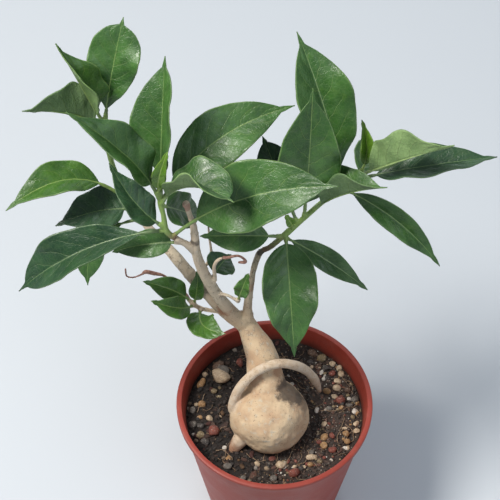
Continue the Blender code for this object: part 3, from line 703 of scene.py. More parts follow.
SHOOTS = {
    "left_shoot": Stem(((-46.9, 21.2, 194.7, 1.4), (-48.8, 21.3, 196.6, 1.35), (-51, 21.8, 200.8, 1.4),
                        (-51.6, 23.5, 208.2, 1.2), (-52.7, 25.3, 214.6, 1.3),
                        (-52.9, 26.2, 219.2, 1.1)), 2),
    "upper_left_shoot": Stem(((-64.4, 47.8, 174.5, 1.6), (-71.5, 51, 191, 1.4), (-76, 52.6, 208, 1.3),
                              (-77.8, 53.8, 224, 1.3), (-77.9, 54.6, 236.5, 1.2)), 2),
    "right_shoot": Stem(((-6.2, 31.8, 171.6, 1.4), (-2.9, 31.8, 174, 1.4), (2.1, 32.2, 180.4, 1.4),
                         (5.8, 33.1, 184.6, 1.5), (13.2, 35.7, 192, 1.3), (22.2, 38.6, 201, 1.3),
                         (31.3, 41.9, 206.5, 1.3), (38.2, 45.9, 211, 1.1)), 2),
}

DRY_STALKS = {
    "dry_tendril": Stem(((-42, 28.1, 134, 0.6), (-43.8, 31, 135.6, 0.6), (-47.4, 33.5, 139, 0.5),
                         (-54, 33.5, 148, 0.5), (-59, 33.5, 150.2, 0.8), (-63.2, 33, 152.3, 0.8),
                         (-65.4, 33, 150.2, 0.4), (-69.3, 33, 147.8, 0.4), (-72.7, 33, 148.8, 0.4),
                         (-73, 33, 154.5, 0.4)), 2),
    "withered_twig": Stem(((-25.2, 20.2, 181.0, 0.8), (-22.7, 20.2, 181.2, 0.7), (-18.3, 20.2, 182.5, 0.6),
                           (-15.7, 20.2, 180.6, 0.6), (-14.7, 20.2, 177.7, 1.0),
                           (-17.6, 20.2, 177.4, 0.6)), 2),
}


@dataclass(frozen=True)
class Leaf:
    """One leaf, with lengths in millimetres and angles in degrees.

    along is its place on the stem, 0 at the foot and 1 at the tip. Unrolled, the upper side looks
    up and to the front; roll leans it over to the right and turn twists the blade along its length.
    arch and sway bow the midrib upwards and to the right, as shares of the length. fold lifts both
    halves at the midrib and curl goes on bending the left and the right one.
    """

    stem: str
    along: float
    tip: tuple
    width: float
    arch: float = 0.14
    sway: float = 0.0
    petiole: float = 0.1
    belly: float = 0.46
    point: float = 0.95
    roll: float = 0.0
    fold: float = 14.0
    curl: tuple = (10.0, 10.0)
    turn: float = 0.0
    wave: float = 0.12
    waves: float = 3.0
    tone: Tone = Tone.MATURE


LEAVES = {
    "leaf_crown_top": Leaf("upper_left_shoot", 0.99, (-67, 72, 285), 24.5, petiole=0.04, belly=0.7,
                           point=0.5),
    "leaf_crown_dark": Leaf("upper_left_shoot", 0.97, (-95, 56, 285), 21, roll=50, fold=47,
                            tone=Tone.FRESH),
    "leaf_crown_left": Leaf("upper_left_shoot", 0.94, (-111, 41, 259), 27, sway=0.1, roll=110, fold=35,
                            turn=-20),
    "leaf_upper_left": Leaf("left_shoot", 0.93, (-89.2, 25, 276), 23, sway=0.08, roll=28, fold=28),
    "leaf_upright": Leaf("left_shoot", 0.9, (-49.2, 60, 273.4), 28, arch=0.06, belly=0.52, point=0.8,
                         roll=-35, fold=32, wave=0.05),
    "leaf_broad_upper": Leaf("left_shoot", 0.86, (7.7, 60, 242), 27, arch=0.05, sway=-0.19),
    "leaf_curled_front": Leaf("left_shoot", 0.82, (-19.3, 5, 241), 27, arch=0.2, sway=-0.25, petiole=0.06,
                              belly=0.68, point=0.4, roll=-46, fold=42, curl=(4, 8),
                              tone=Tone.PALE_BACKED),
    "leaf_broad_front": Leaf("left_shoot", 0.06, (26, 14, 240.7), 33, arch=0.1, sway=-0.14, petiole=0.16),
    "leaf_under_front": Leaf("right_shoot", 0.22, (-36, 29, 186), 17, arch=0.08),
    "leaf_right_tall": Leaf("right_shoot", 0.84, (8, 75, 273.4), 30, sway=0.03, belly=0.56, roll=8,
                            fold=25),
    "leaf_right_broad": Leaf("right_shoot", 0.45, (14.5, 45, 269), 30, arch=0.06, sway=0.01),
    "leaf_right_strip": Leaf("right_shoot", 0.54, (47.8, 21, 231.5), 24, sway=-0.08, belly=0.55,
                             point=0.8, roll=-58, fold=58),
    "leaf_hidden_upper": Leaf("right_shoot", 0.38, (-6.8, 58, 223.6), 22, arch=0.05, belly=0.5, point=0.7,
                              tone=Tone.DARK),
    "leaf_young_right": Leaf("right_shoot", 1, (37.8, 55, 238), 9, sway=0.15, fold=40, tone=Tone.YOUNG),
    "leaf_right_back": Leaf("right_shoot", 0.93, (50, 81, 190), 18),
    "leaf_far_right": Leaf("right_shoot", 0.94, (100, 47, 221.7), 20, roll=-25, fold=25, tone=Tone.DARK),
    "leaf_right_fold": Leaf("right_shoot", 0.97, (75.7, 28, 251.5), 27, petiole=0.16, roll=-110, fold=35,
                            tone=Tone.PALE_BACKED),
    "leaf_right_drooping": Leaf("right_shoot", 0.83, (77, 22, 172), 14, sway=-0.1, petiole=0.03, roll=15,
                                fold=28),
    "leaf_hanging": Leaf("right_shoot", 0.25, (9, -3, 132), 28, petiole=0.01, belly=0.38, wave=0.2),
    "leaf_right_low": Leaf("right_shoot", 0.22, (44, 21, 154), 12, arch=0.05, sway=-0.05, petiole=0.03),
    "leaf_low_upper": Leaf("side_twig", 0.9, (-64.3, 27, 152.6), 13, sway=0.1, tone=Tone.FRESH),
    "leaf_low_lower": Leaf("side_twig", 0.96, (-59.4, 12, 157.6), 12, sway=-0.14, tone=Tone.FRESH),
    "leaf_low_round": Leaf("side_twig", 0.72, (-24.4, 8, 135.4), 15, sway=0.4, petiole=0.02, belly=0.4,
                           point=0.6, roll=-10, tone=Tone.FRESH),
    "leaf_low_upright": Leaf("side_twig", 0.99, (-37.4, 28, 161), 8, sway=0.06, tone=Tone.FRESH),
    "leaf_behind_branch": Leaf("front_branch", 0.42, (-21.6, 36, 162.4), 16, sway=-0.1, tone=Tone.DARK),
    "leaf_crinkled": Leaf("low_twig", 0.98, (-13.2, 19.5, 169.5), 8, wave=0.3, tone=Tone.FRESH),
    "leaf_far_left": Leaf("upper_left_shoot", 0.18, (-125, 33, 200), 20, sway=0.36, petiole=0.2, point=1,
                          roll=17, fold=22, tone=Tone.FRESH),
    "leaf_left_second": Leaf("upper_left_shoot", 0.11, (-105.3, 42, 177), 23, arch=0.06, sway=0.12,
                             petiole=0.05, belly=0.36, point=1, roll=15, tone=Tone.DARK),
    "leaf_left_dark": Leaf("left_shoot", 0.3, (-75.3, 36, 230.4), 16, sway=-0.13, petiole=0.04, belly=0.4,
                           roll=22, fold=15, tone=Tone.DARK),
    "leaf_left_large": Leaf("left_shoot", 0.26, (-121, 11, 167), 25, sway=0.125, belly=0.6, point=0.65,
                            roll=10, fold=27, curl=(20, 8), tone=Tone.DARK),
    "leaf_left_low": Leaf("shoot_foot", 0.72, (-77, 25, 179), 14, sway=0.05, petiole=0.04, belly=0.36,
                          point=0.8),
    "leaf_left_tip": Leaf("upper_left_shoot", 0.01, (-92, 31, 144), 15, sway=0.4, belly=0.62, point=0.7),
    "leaf_young_bright": Leaf("left_shoot", 1, (-48, 24.5, 251), 7, sway=-0.06, tone=Tone.YOUNG),
    "leaf_behind_stub": Leaf("left_shoot", 0.8, (-36, 44, 182), 18, arch=0, petiole=0.04, belly=0.4,
                             point=0.6),
    "leaf_bud": Leaf("right_shoot", 0.33, (4, 32, 198), 5, tone=Tone.YOUNG),
}


class Blade:
    """One leaf as it is built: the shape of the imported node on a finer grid, with its rib and relief."""

    gap = 0.3 * MM
    stalk = 0.85 * MM
    cushion_radius = 1.15 * MM
    cushion_reach = 0.6 * MM
    tail_share = 0.07
    tail = 1.3 * MM
    tip_width = 0.2 * MM
    thickness = 0.5 * MM

    def __init__(self, name: str, leaf: Leaf, skin: LeafSkin) -> None:
        """Finds where the leaf stands on its stem."""
        self.name = name
        self.leaf = leaf
        self.skin = skin
        self.tip = Vector(leaf.tip) * MM
        carrier = WOOD.get(leaf.stem) or SHOOTS[leaf.stem]
        self.foot, forward, radius = carrier.place_on(leaf.along)
        chord = self.tip - self.foot
        side = chord.cross(LEAF_FACE).normalized()
        lift = side.cross(chord).normalized()
        self.bend = self.foot + 0.5 * chord + chord.length * (leaf.arch * lift + leaf.sway * side)
        self.out = (self.bend - self.foot).normalized()
        across = max(0.35, self.out.cross(forward).length)
        self.reach = min(radius + 5 * MM, (radius + self.cushion_radius) / across) + self.cushion_reach
        self.start = self.foot + self.out * (self.reach + self.gap)
        self.length = chord.length

    def half_width(self, share: float) -> float:
        """Half the blade's width at a share of the leaf's length, drip tip included."""
        leaf = self.leaf
        t = (share - leaf.petiole) / (1 - leaf.petiole)
        if t <= 0:
            return self.stalk * 0.5
        tail = self.tail * min(1.0, (1 - t) / self.tail_share)
        body = 0.0
        s = t / (1 - self.tail_share)
        if s < 1:
            rise = leaf.point * leaf.belly / (1 - leaf.belly)
            peak = leaf.belly ** rise * (1 - leaf.belly) ** leaf.point
            body = 0.5 * leaf.width * MM * s ** rise * (1 - s) ** leaf.point / peak
        floor = self.stalk * 0.5 if t < 0.5 else self.tip_width
        return max(body, tail if t > 0.5 else 0.0, floor)

    def frame(self, u: float) -> tuple:
        """(point on the rib, way along, way to the side, way up) at a share of the length."""
        spot = self.start * (1 - u) ** 2 + self.bend * 2 * u * (1 - u) + self.tip * u ** 2
        along = ((self.bend - self.start) * (1 - u) + (self.tip - self.bend) * u).normalized()
        side = along.cross(LEAF_FACE).normalized()
        twist = math.radians(self.leaf.roll + self.leaf.turn * (u - 0.5))
        side = Matrix.Rotation(twist, 3, along) @ side
        return spot, along, side, side.cross(along).normalized()

    def across(self, sign: int, v: float) -> tuple:
        """(sideways, upwards) of a point of the cross-section, as shares of the half width."""
        fold = math.radians(self.leaf.fold)
        curl = math.radians(self.leaf.curl[0] if sign < 0 else self.leaf.curl[1])
        end = fold + curl * v
        return (math.sin(end) - math.sin(fold)) / curl, (math.cos(fold) - math.cos(end)) / curl

    def pucker(self, t: float, v: float) -> float:
        """How far the blade swells between its side veins, from 0 to 1."""
        phase = self.skin.pairs * t - self.skin.lean * abs(v) ** 1.25 + (0.5 if v > 0 else 0.0) + 0.75
        swell = 1 - (2 * abs(phase % 1.0 - 0.5)) ** 2
        return swell * min(1.0, 3.0 * abs(v)) * (1 - abs(v) ** 3)

    def point(self, u: float, v: float) -> Vector:
        """A point of the leaf's middle surface: u runs from stalk to tip, v from -1 to 1 across."""
        leaf = self.leaf
        spot, _, side, up = self.frame(u)
        width = self.half_width(u)
        sign = -1 if v < 0 else 1
        sideways, upwards = self.across(sign, abs(v))
        t = max(0.0, u - leaf.petiole) / (1 - leaf.petiole)
        ripple = leaf.wave * abs(v) ** 1.5 * math.sin(math.tau * leaf.waves * u + 1.9 * sign)
        upwards = (upwards + ripple) * min(1.0, 4 * t) * min(1.0, 3 * (1 - t))
        flesh = min(1.0, width / (6 * MM))
        edge = 1 + 0.02 * abs(v) ** 4 * noise.noise(Vector((u * 16, sign * 2.0, self.length * 90)))
        here = spot + side * (width * sign * sideways * edge) + up * (width * upwards)
        lumps = 0.5 * noise.noise(here * 95) + 0.22 * noise.noise(here * 260)
        return here + up * (MM * flesh * (0.36 * self.pucker(t, v) + 0.6 * lumps))

    def build(self) -> bpy.types.Object:
        """Builds the blade, then its rib, as one piece.

        Returns:
            The leaf's object.
        """
        large = self.leaf.width > 14
        columns, rows = (64, 26) if large else (36, 14)
        first = 0.85 * self.leaf.petiole
        bm = bmesh.new()
        bmesh.ops.create_grid(bm, x_segments=columns, y_segments=rows, size=1.0)
        blade_map = bm.loops.layers.uv.new("blade")
        ruler = bm.loops.layers.uv.new("ruler")
        for face in bm.faces:
            for loop in face.loops:
                u = first + (1 - first) * 0.5 * (loop.vert.co.x + 1)
                v = loop.vert.co.y
                t = max(0.0, u - self.leaf.petiole) / (1 - self.leaf.petiole)
                loop[blade_map].uv = (t, 0.5 + 0.5 * v)
                loop[ruler].uv = (u * self.length * 10, 0.5 + v * self.half_width(u) * 10)
        for vert in bm.verts:
            vert.co = self.point(first + (1 - first) * 0.5 * (vert.co.x + 1), vert.co.y)
        bmesh.ops.reverse_faces(bm, faces=bm.faces)
        made = piece_of(bm, self.name + "_blade", (self.skin.upper(), self.skin.under(), self.skin.rib()))
        thick = made.modifiers.new("thickness", "SOLIDIFY")
        thick.thickness = self.thickness
        thick.offset = 0.0
        thick.material_offset = 1
        thick.material_offset_rim = 1
        applied(made)
        whole = bmesh.new()
        whole.from_mesh(made.data)
        rib = self.rib()
        for face in rib.faces:
            face.material_index = 2
            face.smooth = True
        absorbed(whole, rib)
        whole.to_mesh(made.data)
        whole.free()
        return made

    def rib(self) -> bmesh.types.BMesh:
        """The stalk, which goes on under the blade as its rib and shows as a thin line on top."""
        stations = []
        for i in range(30):
            u = i / 29 * 0.985
            spot, _, _, up = self.frame(u)
            t = max(0.0, u - self.leaf.petiole) / (1 - self.leaf.petiole)
            scale = min(1.0, self.leaf.width / 18)
            radius = self.stalk * (0.55 + 0.45 * scale) * (1.0 if t <= 0 else 0.62 * (1 - t) ** 0.8 + 0.11)
            sunk = min(1.0, 8 * t) * (radius - 0.5 * self.thickness - 0.03 * MM)
            stations.append(Vector((*(spot - up * sunk), radius)))
        foot = stations[0].copy()
        foot.xyz -= self.out * 0.6 * MM
        foot.w *= 1.12
        return sleeve([foot, *stations], 8)


@dataclass
class Foliage:
    """All the leaves, each a piece of its own in the tone it has."""

    leaves: dict = field(default_factory=lambda: LEAVES)

    def build(self) -> None:
        """Builds every leaf in its node's place."""
        skins = {tone: CachedSkin(tone) for tone in Tone}
        for name, leaf in self.leaves.items():
            made = Blade(name, leaf, skins[leaf.tone]).build()
            slot = Slot.YOUNG_LEAF if leaf.tone is Tone.YOUNG else Slot.LEAF
            seated(made, slot, name)


class CachedSkin:
    """A tone's three materials, made once and shared by its leaves."""

    def __init__(self, tone: Tone) -> None:
        """Keeps the tone's recipe."""
        self.recipe = LeafSkin(tone)
        self.pairs = self.recipe.pairs
        self.lean = self.recipe.lean
        self.made = {}

    def once(self, face: str) -> bpy.types.Material:
        """The material of a face, made the first time it is asked for."""
        if face not in self.made:
            self.made[face] = getattr(self.recipe, face)()
        return self.made[face]

    def upper(self) -> bpy.types.Material:
        """The upper face's material."""
        return self.once("upper")

    def under(self) -> bpy.types.Material:
        """The underside's material."""
        return self.once("under")

    def rib(self) -> bpy.types.Material:
        """The rib's material."""
        return self.once("rib")


@dataclass
class NurseryPot:
    """The thin tapered pot, with its lip, drainage channel and holes."""

    rim_radius: float = 50.0 * MM
    height: float = 86.0 * MM
    base_radius: float = 36.0 * MM
    wall: float = 1.3 * MM
    lip_reach: float = 1.5 * MM
    lip_height: float = 3.2 * MM
    floor: float = 1.6 * MM
    lift: float = 2.0 * MM
    channel: tuple = (13.0 * MM, 29.0 * MM)
    holes: int = 6
    hole_radius: float = 4.0 * MM

    def wall_radius(self, height: float) -> float:
        """The outer radius of the wall at a height."""
        return self.base_radius + (self.rim_radius - self.lip_reach - self.base_radius) * height / self.height

    def profile(self) -> list:
        """(radius, height) round the pot's section, from the floor's middle up and back underneath."""
        top, lip = self.height, self.height - self.lip_height
        slope = 2.5 * MM
        lifted = self.lift + self.floor
        inner, outer = self.channel
        inside = self.wall_radius(top) - self.wall
        turn = [(inside + 0.05 * MM, top - 0.55 * MM), (inside + 0.25 * MM, top - 0.12 * MM),
                (inside + 0.7 * MM, top), (self.rim_radius - 0.7 * MM, top),
                (self.rim_radius - 0.2 * MM, top - 0.2 * MM), (self.rim_radius, top - 0.7 * MM),
                (self.rim_radius - 0.1 * MM, lip + 0.5 * MM), (self.rim_radius - 0.35 * MM, lip + 0.05 * MM),
                (self.wall_radius(lip) + 0.5 * MM, lip - 0.1 * MM),
                (self.wall_radius(lip) + 0.08 * MM, lip - 0.6 * MM)]
        sides = [self.wall_radius(h * MM) - self.wall for h in range(8, 84, 5)]
        climb = [(r, h * MM) for r, h in zip(sides, range(8, 84, 5))]
        fall = [(self.wall_radius(h * MM), h * MM) for h in range(80, 2, -5)]
        return [(0, self.floor), (inner - slope, self.floor), (inner - 0.5 * slope, lifted - 0.6 * self.lift),
                (inner, lifted), (outer, lifted), (outer + slope, self.floor),
                (self.wall_radius(self.floor) - self.wall - 1.2 * MM, self.floor),
                (self.wall_radius(self.floor) - self.wall, self.floor + 1.0 * MM), *climb, *turn, *fall,
                (self.wall_radius(0.9 * MM), 0.9 * MM), (self.wall_radius(0) - 0.9 * MM, 0),
                (outer + slope, 0), (outer, self.lift), (inner, self.lift), (inner - slope, 0), (0, 0)]

    def build(self) -> None:
        """Spins the pot and drills its holes."""
        bm = bmesh.new()
        verts = [bm.verts.new((r, 0.0, h)) for r, h in self.profile()]
        edges = [bm.edges.new(pair) for pair in zip(verts, verts[1:])]
        bmesh.ops.spin(bm, geom=[*verts, *edges], axis=UP, cent=(0, 0, 0), angle=math.tau, steps=144,
                       use_merge=True)
        bmesh.ops.remove_doubles(bm, verts=bm.verts, dist=0.01 * MM)
        bmesh.ops.recalc_face_normals(bm, faces=bm.faces)
        pot = piece_of(bm, "nursery_pot", (PotPlastic().material(),), 40.0)
        drill = bmesh.new()
        ring = 0.5 * sum(self.channel)
        for i in range(self.holes):
            turn = Matrix.Rotation(math.tau * i / self.holes, 4, "Z")
            bmesh.ops.create_cone(drill, cap_ends=True, segments=32, radius1=self.hole_radius,
                                  radius2=self.hole_radius, depth=20 * MM,
                                  matrix=turn @ Matrix.Translation((ring, 0, 0)))
        cutter = piece_of(drill, "drain_drill", ())
        holes = pot.modifiers.new("drain_holes", "BOOLEAN")
        holes.operation = "DIFFERENCE"
        holes.solver = "EXACT"
        holes.object = cutter
        applied(pot)
        bpy.data.objects.remove(cutter)
        pot.data.set_sharp_from_angle(angle=math.radians(40))
        seated(pot, Slot.POT, "pot")


class Rock(Enum):
    """The kinds of stone in the mix, in linear colours."""

    CREAM = (0.47, 0.36, 0.24)
    OCHRE = (0.30, 0.17, 0.07)
    BRICK = (0.17, 0.042, 0.026)
    GREY = (0.115, 0.100, 0.085)
    WHITE = (0.56, 0.52, 0.46)
    BROWN = (0.10, 0.055, 0.034)
    OLIVE = (0.20, 0.15, 0.08)
    SLATE = (0.050, 0.042, 0.038)

    @property
    def tint(self) -> float:
        """Where the kind lies in the gravel's row of colours, from 0 to 1."""
        kinds = list(Rock)
        return (kinds.index(self) + 0.5) / len(kinds)


@dataclass(frozen=True)
class Stone:
    """A stone that shows: its place on the mix and half width in mm, its kind, stretch and turn."""

    x: float
    y: float
    size: float
    rock: Rock
    stretch: float = 1.15
    turn: float = 0.0


@dataclass
class PottingSoil:
    """The potting mix: a crumbly bed, loose crumbs, stones, bark bits and fine roots."""

    pot: NurseryPot
    level: float = 74.0 * MM
    clearance: float = 0.4 * MM
    bulb: Vector = field(default_factory=lambda: Vector((-2.8, -7.4)) * MM)
    bulb_radius: float = 17.5 * MM
    seed: int = 11

    def ground(self, x: float, y: float) -> float:
        """The height of the bed at a place."""
        spot = Vector((x, y, 0.0))
        rough = 1.1 * noise.noise(spot * 75 + Vector((5, 2, 9))) + 0.55 * noise.noise(spot * 260)
        rough += 0.32 * noise.noise(spot * 620 + Vector((1, 7, 3)))
        return self.level + MM * rough

    def bed(self) -> bpy.types.Object:
        """The bed that fills the pot, with a crumbly top."""
        lifted = self.pot.lift + self.pot.floor + self.clearance
        inner = self.pot.wall_radius(self.level) - self.pot.wall - 0.05 * MM
        low = self.pot.wall_radius(lifted) - self.pot.wall - self.clearance
        rings = 84
        profile = [(inner * i / rings, self.level) for i in range(rings + 1)]
        profile += [(inner, self.level - 2.5 * MM), (low, lifted), (0, lifted)]
        bm = bmesh.new()
        verts = [bm.verts.new((r, 0.0, h)) for r, h in profile]
        edges = [bm.edges.new(pair) for pair in zip(verts, verts[1:])]
        bmesh.ops.spin(bm, geom=[*verts, *edges], axis=UP, cent=(0, 0, 0), angle=math.tau, steps=220,
                       use_merge=True)
        bmesh.ops.remove_doubles(bm, verts=bm.verts, dist=0.005 * MM)
        bmesh.ops.recalc_face_normals(bm, faces=bm.faces)
        for vert in bm.verts:
            if vert.co.z > self.level - 0.1 * MM:
                vert.co.z = self.ground(vert.co.x, vert.co.y)
        return piece_of(bm, "soil_bed", (SoilCrumb().material(),))

    def free_spot(self, rng: random.Random, size: float) -> Vector:
        """A random place on the bed, clear of the wall and the swollen stem."""
        reach = self.pot.wall_radius(self.level) - self.pot.wall - size
        while True:
            spot = Vector((rng.uniform(-reach, reach), rng.uniform(-reach, reach)))
            if spot.length < reach and (spot - self.bulb).length > self.bulb_radius + 0.3 * size:
                return spot

    def lump(self, bm: bmesh.types.BMesh, rng: random.Random, spot: Vector, size: float, stretch: float,
             turn: float, fineness: int, sunk: float = 0.25, flat: float = 0.75) -> list:
        """Adds one angular lump that rests on the bed.

        Args:
            bm: the mesh that takes it.
            rng: where its shape comes from.
            spot: its place on the bed.
            size: its half width, in metres.
            stretch: its length over its width.
            turn: its turn about the upright, in radians.
            fineness: how often its ball is divided.
            sunk: the share of its size that lies in the bed.
            flat: its height over its width.

        Returns:
            Its vertices.
        """
        verts = bmesh.ops.create_icosphere(bm, subdivisions=fineness, radius=1.0)["verts"]
        for _ in range(7):
            way = Vector((rng.gauss(0, 1), rng.gauss(0, 1), rng.gauss(0, 1))).normalized()
            cap = rng.uniform(0.62, 0.9)
            for vert in verts:
                beyond = vert.co.dot(way) - cap
                if beyond > 0:
                    vert.co -= way * beyond * 0.85
        shape = Matrix.Diagonal((size * stretch, size, size * flat, 1))
        tilt = Matrix.Rotation(rng.uniform(-0.35, 0.35), 4, "X")
        tilt = tilt @ Matrix.Rotation(rng.uniform(-0.3, 0.3), 4, "Y")
        place = Vector((spot.x, spot.y, self.ground(spot.x, spot.y) + size * flat * (1 - 2 * sunk)))
        placed = Matrix.Translation(place) @ Matrix.Rotation(turn, 4, "Z") @ tilt @ shape
        bmesh.ops.transform(bm, matrix=placed, verts=verts)
        return verts

    def grit(self, name: str, count: int, sizes: tuple, finish: bpy.types.Material, fineness: int,
             seed: int, flat: float = 0.75, stretch: tuple = (1.0, 1.6)) -> bpy.types.Object:
        """Many lumps scattered over the bed, each with a tint of its own."""
        rng = random.Random(seed)
        bm = bmesh.new()
        tint = bm.verts.layers.float.new("tint")
        for _ in range(count):
            size = rng.uniform(*sizes) * MM
            size *= rng.uniform(0.6, 1.0)
            verts = self.lump(bm, rng, self.free_spot(rng, size), size, rng.uniform(*stretch),
                              rng.uniform(0, math.tau), fineness, flat=flat)
            shade = rng.random()
            for vert in verts:
                vert[tint] = shade
        return piece_of(bm, name, (finish,), 32.0)

    def stones(self, finish: bpy.types.Material) -> bpy.types.Object:
        """The stones that the photograph shows one by one."""
        rng = random.Random(self.seed)
        bm = bmesh.new()
        tint = bm.verts.layers.float.new("tint")
        for stone in STONES:
            verts = self.lump(bm, rng, Vector((stone.x, stone.y)) * MM, stone.size * MM, stone.stretch,
                              math.radians(stone.turn), 3, sunk=0.2)
            for vert in verts:
                vert[tint] = stone.rock.tint
        return piece_of(bm, "stones", (finish,), 32.0)

    def fibres(self) -> bpy.types.Object:
        """Fine dry roots that lie over the mix."""
        rng = random.Random(self.seed + 5)
        bm = bmesh.new()
        for _ in range(46):
            spot = self.free_spot(rng, 3 * MM)
            way = rng.uniform(0, math.tau)
            stations = []
            radius = rng.uniform(0.10, 0.22) * MM
            for _ in range(9):
                if spot.length > self.pot.wall_radius(self.level) - 2.2 * MM:
                    break
                rise = self.ground(spot.x, spot.y) + rng.uniform(0.4, 1.3) * MM
                stations.append(Vector((spot.x, spot.y, rise, radius)))
                way += rng.uniform(-0.7, 0.7)
                spot = spot + Vector((math.cos(way), math.sin(way))) * 1.5 * MM
            if len(stations) > 3:
                absorbed(bm, sleeve(through(stations, 3), 5))
        finish = Gravel("fine_roots", ((0.26, 0.17, 0.10), (0.38, 0.28, 0.19)), 0.8).material()
        return piece_of(bm, "fine_roots", (finish,))

    def build(self) -> None:
        """Lays the bed and everything on it."""
        seated(self.bed(), Slot.SOIL, "soil")
        kinds = tuple(rock.value for rock in Rock)
        stone = Gravel("gravel", kinds).material()
        # the last number of grit, loose_crumbs and bark_chips is their share of painted shade at the pot's
        # left and rear
        grit = Gravel("grit", kinds, 0.8, 0.85).material()
        crumb = Gravel("loose_crumbs", ((0.020, 0.013, 0.010), (0.045, 0.026, 0.018), (0.075, 0.045, 0.032),
                                        (0.030, 0.022, 0.018)), 0.9, 0.8).material()
        chip = Gravel("bark_chips", ((0.085, 0.036, 0.022), (0.050, 0.026, 0.018), (0.14, 0.065, 0.038)),
                      0.8, 0.7).material()
        seated(self.stones(stone), Slot.SOIL)
        seated(self.grit("small_stones", 190, (0.8, 1.7), grit, 2, self.seed + 1), Slot.SOIL)
        seated(self.grit("sharp_sand", 700, (0.35, 0.8), grit, 1, self.seed + 2), Slot.SOIL)
        seated(self.grit("soil_crumbs", 1500, (0.5, 1.3), crumb, 1, self.seed + 3), Slot.SOIL)
        seated(self.grit("bark_bits", 90, (0.8, 2.0), chip, 1, self.seed + 4, 0.35, (1.4, 2.6)), Slot.SOIL)
        seated(self.fibres(), Slot.SOIL)


STONES = (
    Stone(21, 36, 2.4, Rock.BROWN, 1.4, 150), Stone(25.5, 33.5, 2.3, Rock.OLIVE),
    Stone(31, 30, 1.6, Rock.CREAM), Stone(34.5, 27, 1.6, Rock.CREAM, 1.2, 60),
    Stone(35.3, 23.4, 1.8, Rock.CREAM, 1.2, 100), Stone(30.8, 23.7, 1.6, Rock.BRICK, 1.3, 20),
    Stone(33.3, 18.8, 1.9, Rock.CREAM), Stone(32.8, 14.8, 2, Rock.CREAM),
    Stone(27.5, 12.7, 1.7, Rock.OCHRE, 1.3, 160), Stone(31.4, 9.7, 1.5, Rock.CREAM, 1.5, 140),
    Stone(27.5, 27.8, 1.7, Rock.SLATE, 1.3, 150), Stone(34.4, 7.2, 2.3, Rock.BRICK, 1.2, 160),
    Stone(34.7, 2.8, 1.4, Rock.OCHRE), Stone(42, 8, 1.9, Rock.GREY), Stone(39.2, 4.3, 1.5, Rock.GREY),
    Stone(41.4, 0.8, 1.6, Rock.WHITE, 1.2, 80), Stone(38.5, 13.3, 1.6, Rock.BROWN),
    Stone(40.5, 17, 1.1, Rock.OLIVE), Stone(25.7, -6.4, 1.5, Rock.CREAM, 1.2, 70),
    Stone(22.2, -11.1, 0.6, Rock.CREAM), Stone(25.2, -14.6, 2, Rock.OCHRE, 1.2, 40),
    Stone(24.9, -19.8, 2, Rock.OCHRE, 1.1, 100), Stone(36.3, -9.6, 0.8, Rock.CREAM, 2.6, 5),
    Stone(42, -7, 1.6, Rock.CREAM, 1.2, 60), Stone(42, -11, 1.4, Rock.CREAM, 1.3),
    Stone(36.5, -12.9, 1.7, Rock.OCHRE), Stone(37, -17.2, 1.6, Rock.OCHRE),
    Stone(36, -21, 1.1, Rock.WHITE, 1.5, 160), Stone(29.4, -22.1, 2, Rock.BRICK),
    Stone(28.7, -27.5, 0.9, Rock.WHITE), Stone(18.7, -26.1, 1.7, Rock.CREAM, 1.9, 10),
    Stone(17.9, -30.1, 1.5, Rock.OCHRE), Stone(22.7, -28.4, 1.5, Rock.OLIVE),
    Stone(9.5, -35, 2.6, Rock.BRICK, 1.2, 20), Stone(28.3, 1.9, 1.5, Rock.GREY),
    Stone(-28, 21, 4.6, Rock.CREAM, 1.25, 145), Stone(-27, 24.5, 3.4, Rock.GREY, 1.2, 150),
    Stone(-38, 17.5, 2, Rock.OCHRE, 1.6, 60), Stone(-29.5, 28, 2.4, Rock.BROWN, 1.7, 40),
    Stone(-17.8, 30, 2, Rock.BRICK, 1.6, 80), Stone(-31.2, 12.7, 1.5, Rock.OLIVE),
    Stone(-28.2, 15.1, 0.9, Rock.OLIVE), Stone(-28.6, 9.4, 0.9, Rock.OLIVE, 1.8),
    Stone(-37.1, 4.8, 2.1, Rock.OCHRE), Stone(-40.2, 5.1, 1.1, Rock.CREAM),
    Stone(-42, 1.5, 1.8, Rock.GREY, 1.2, 80), Stone(-38.2, -2.8, 1.2, Rock.OCHRE, 1.5, 10),
    Stone(-33.3, -3.4, 1.7, Rock.CREAM, 1.2, 120), Stone(-27.7, -2.2, 0.8, Rock.CREAM),
    Stone(-42, -7, 2, Rock.GREY), Stone(-38, -8, 1.8, Rock.SLATE), Stone(-38, -13.2, 2, Rock.OLIVE),
    Stone(-31.2, -11.1, 3.2, Rock.BRICK, 1.1, 70), Stone(-41.5, -13, 0.9, Rock.WHITE),
    Stone(-35.4, -17.4, 2, Rock.SLATE), Stone(-25.4, -20.7, 1.1, Rock.WHITE),
    Stone(-23.1, -26.7, 1.5, Rock.OCHRE), Stone(-23.8, -31.5, 2, Rock.GREY),
    Stone(-16, -38, 1.8, Rock.GREY), Stone(-36, 23, 1.5, Rock.CREAM),
    Stone(3.1, -30.5, 2.5, Rock.CREAM, 1.2, 150), Stone(-0.6, -38, 1.8, Rock.GREY),
    Stone(-9, -30, 1.5, Rock.CREAM),
)


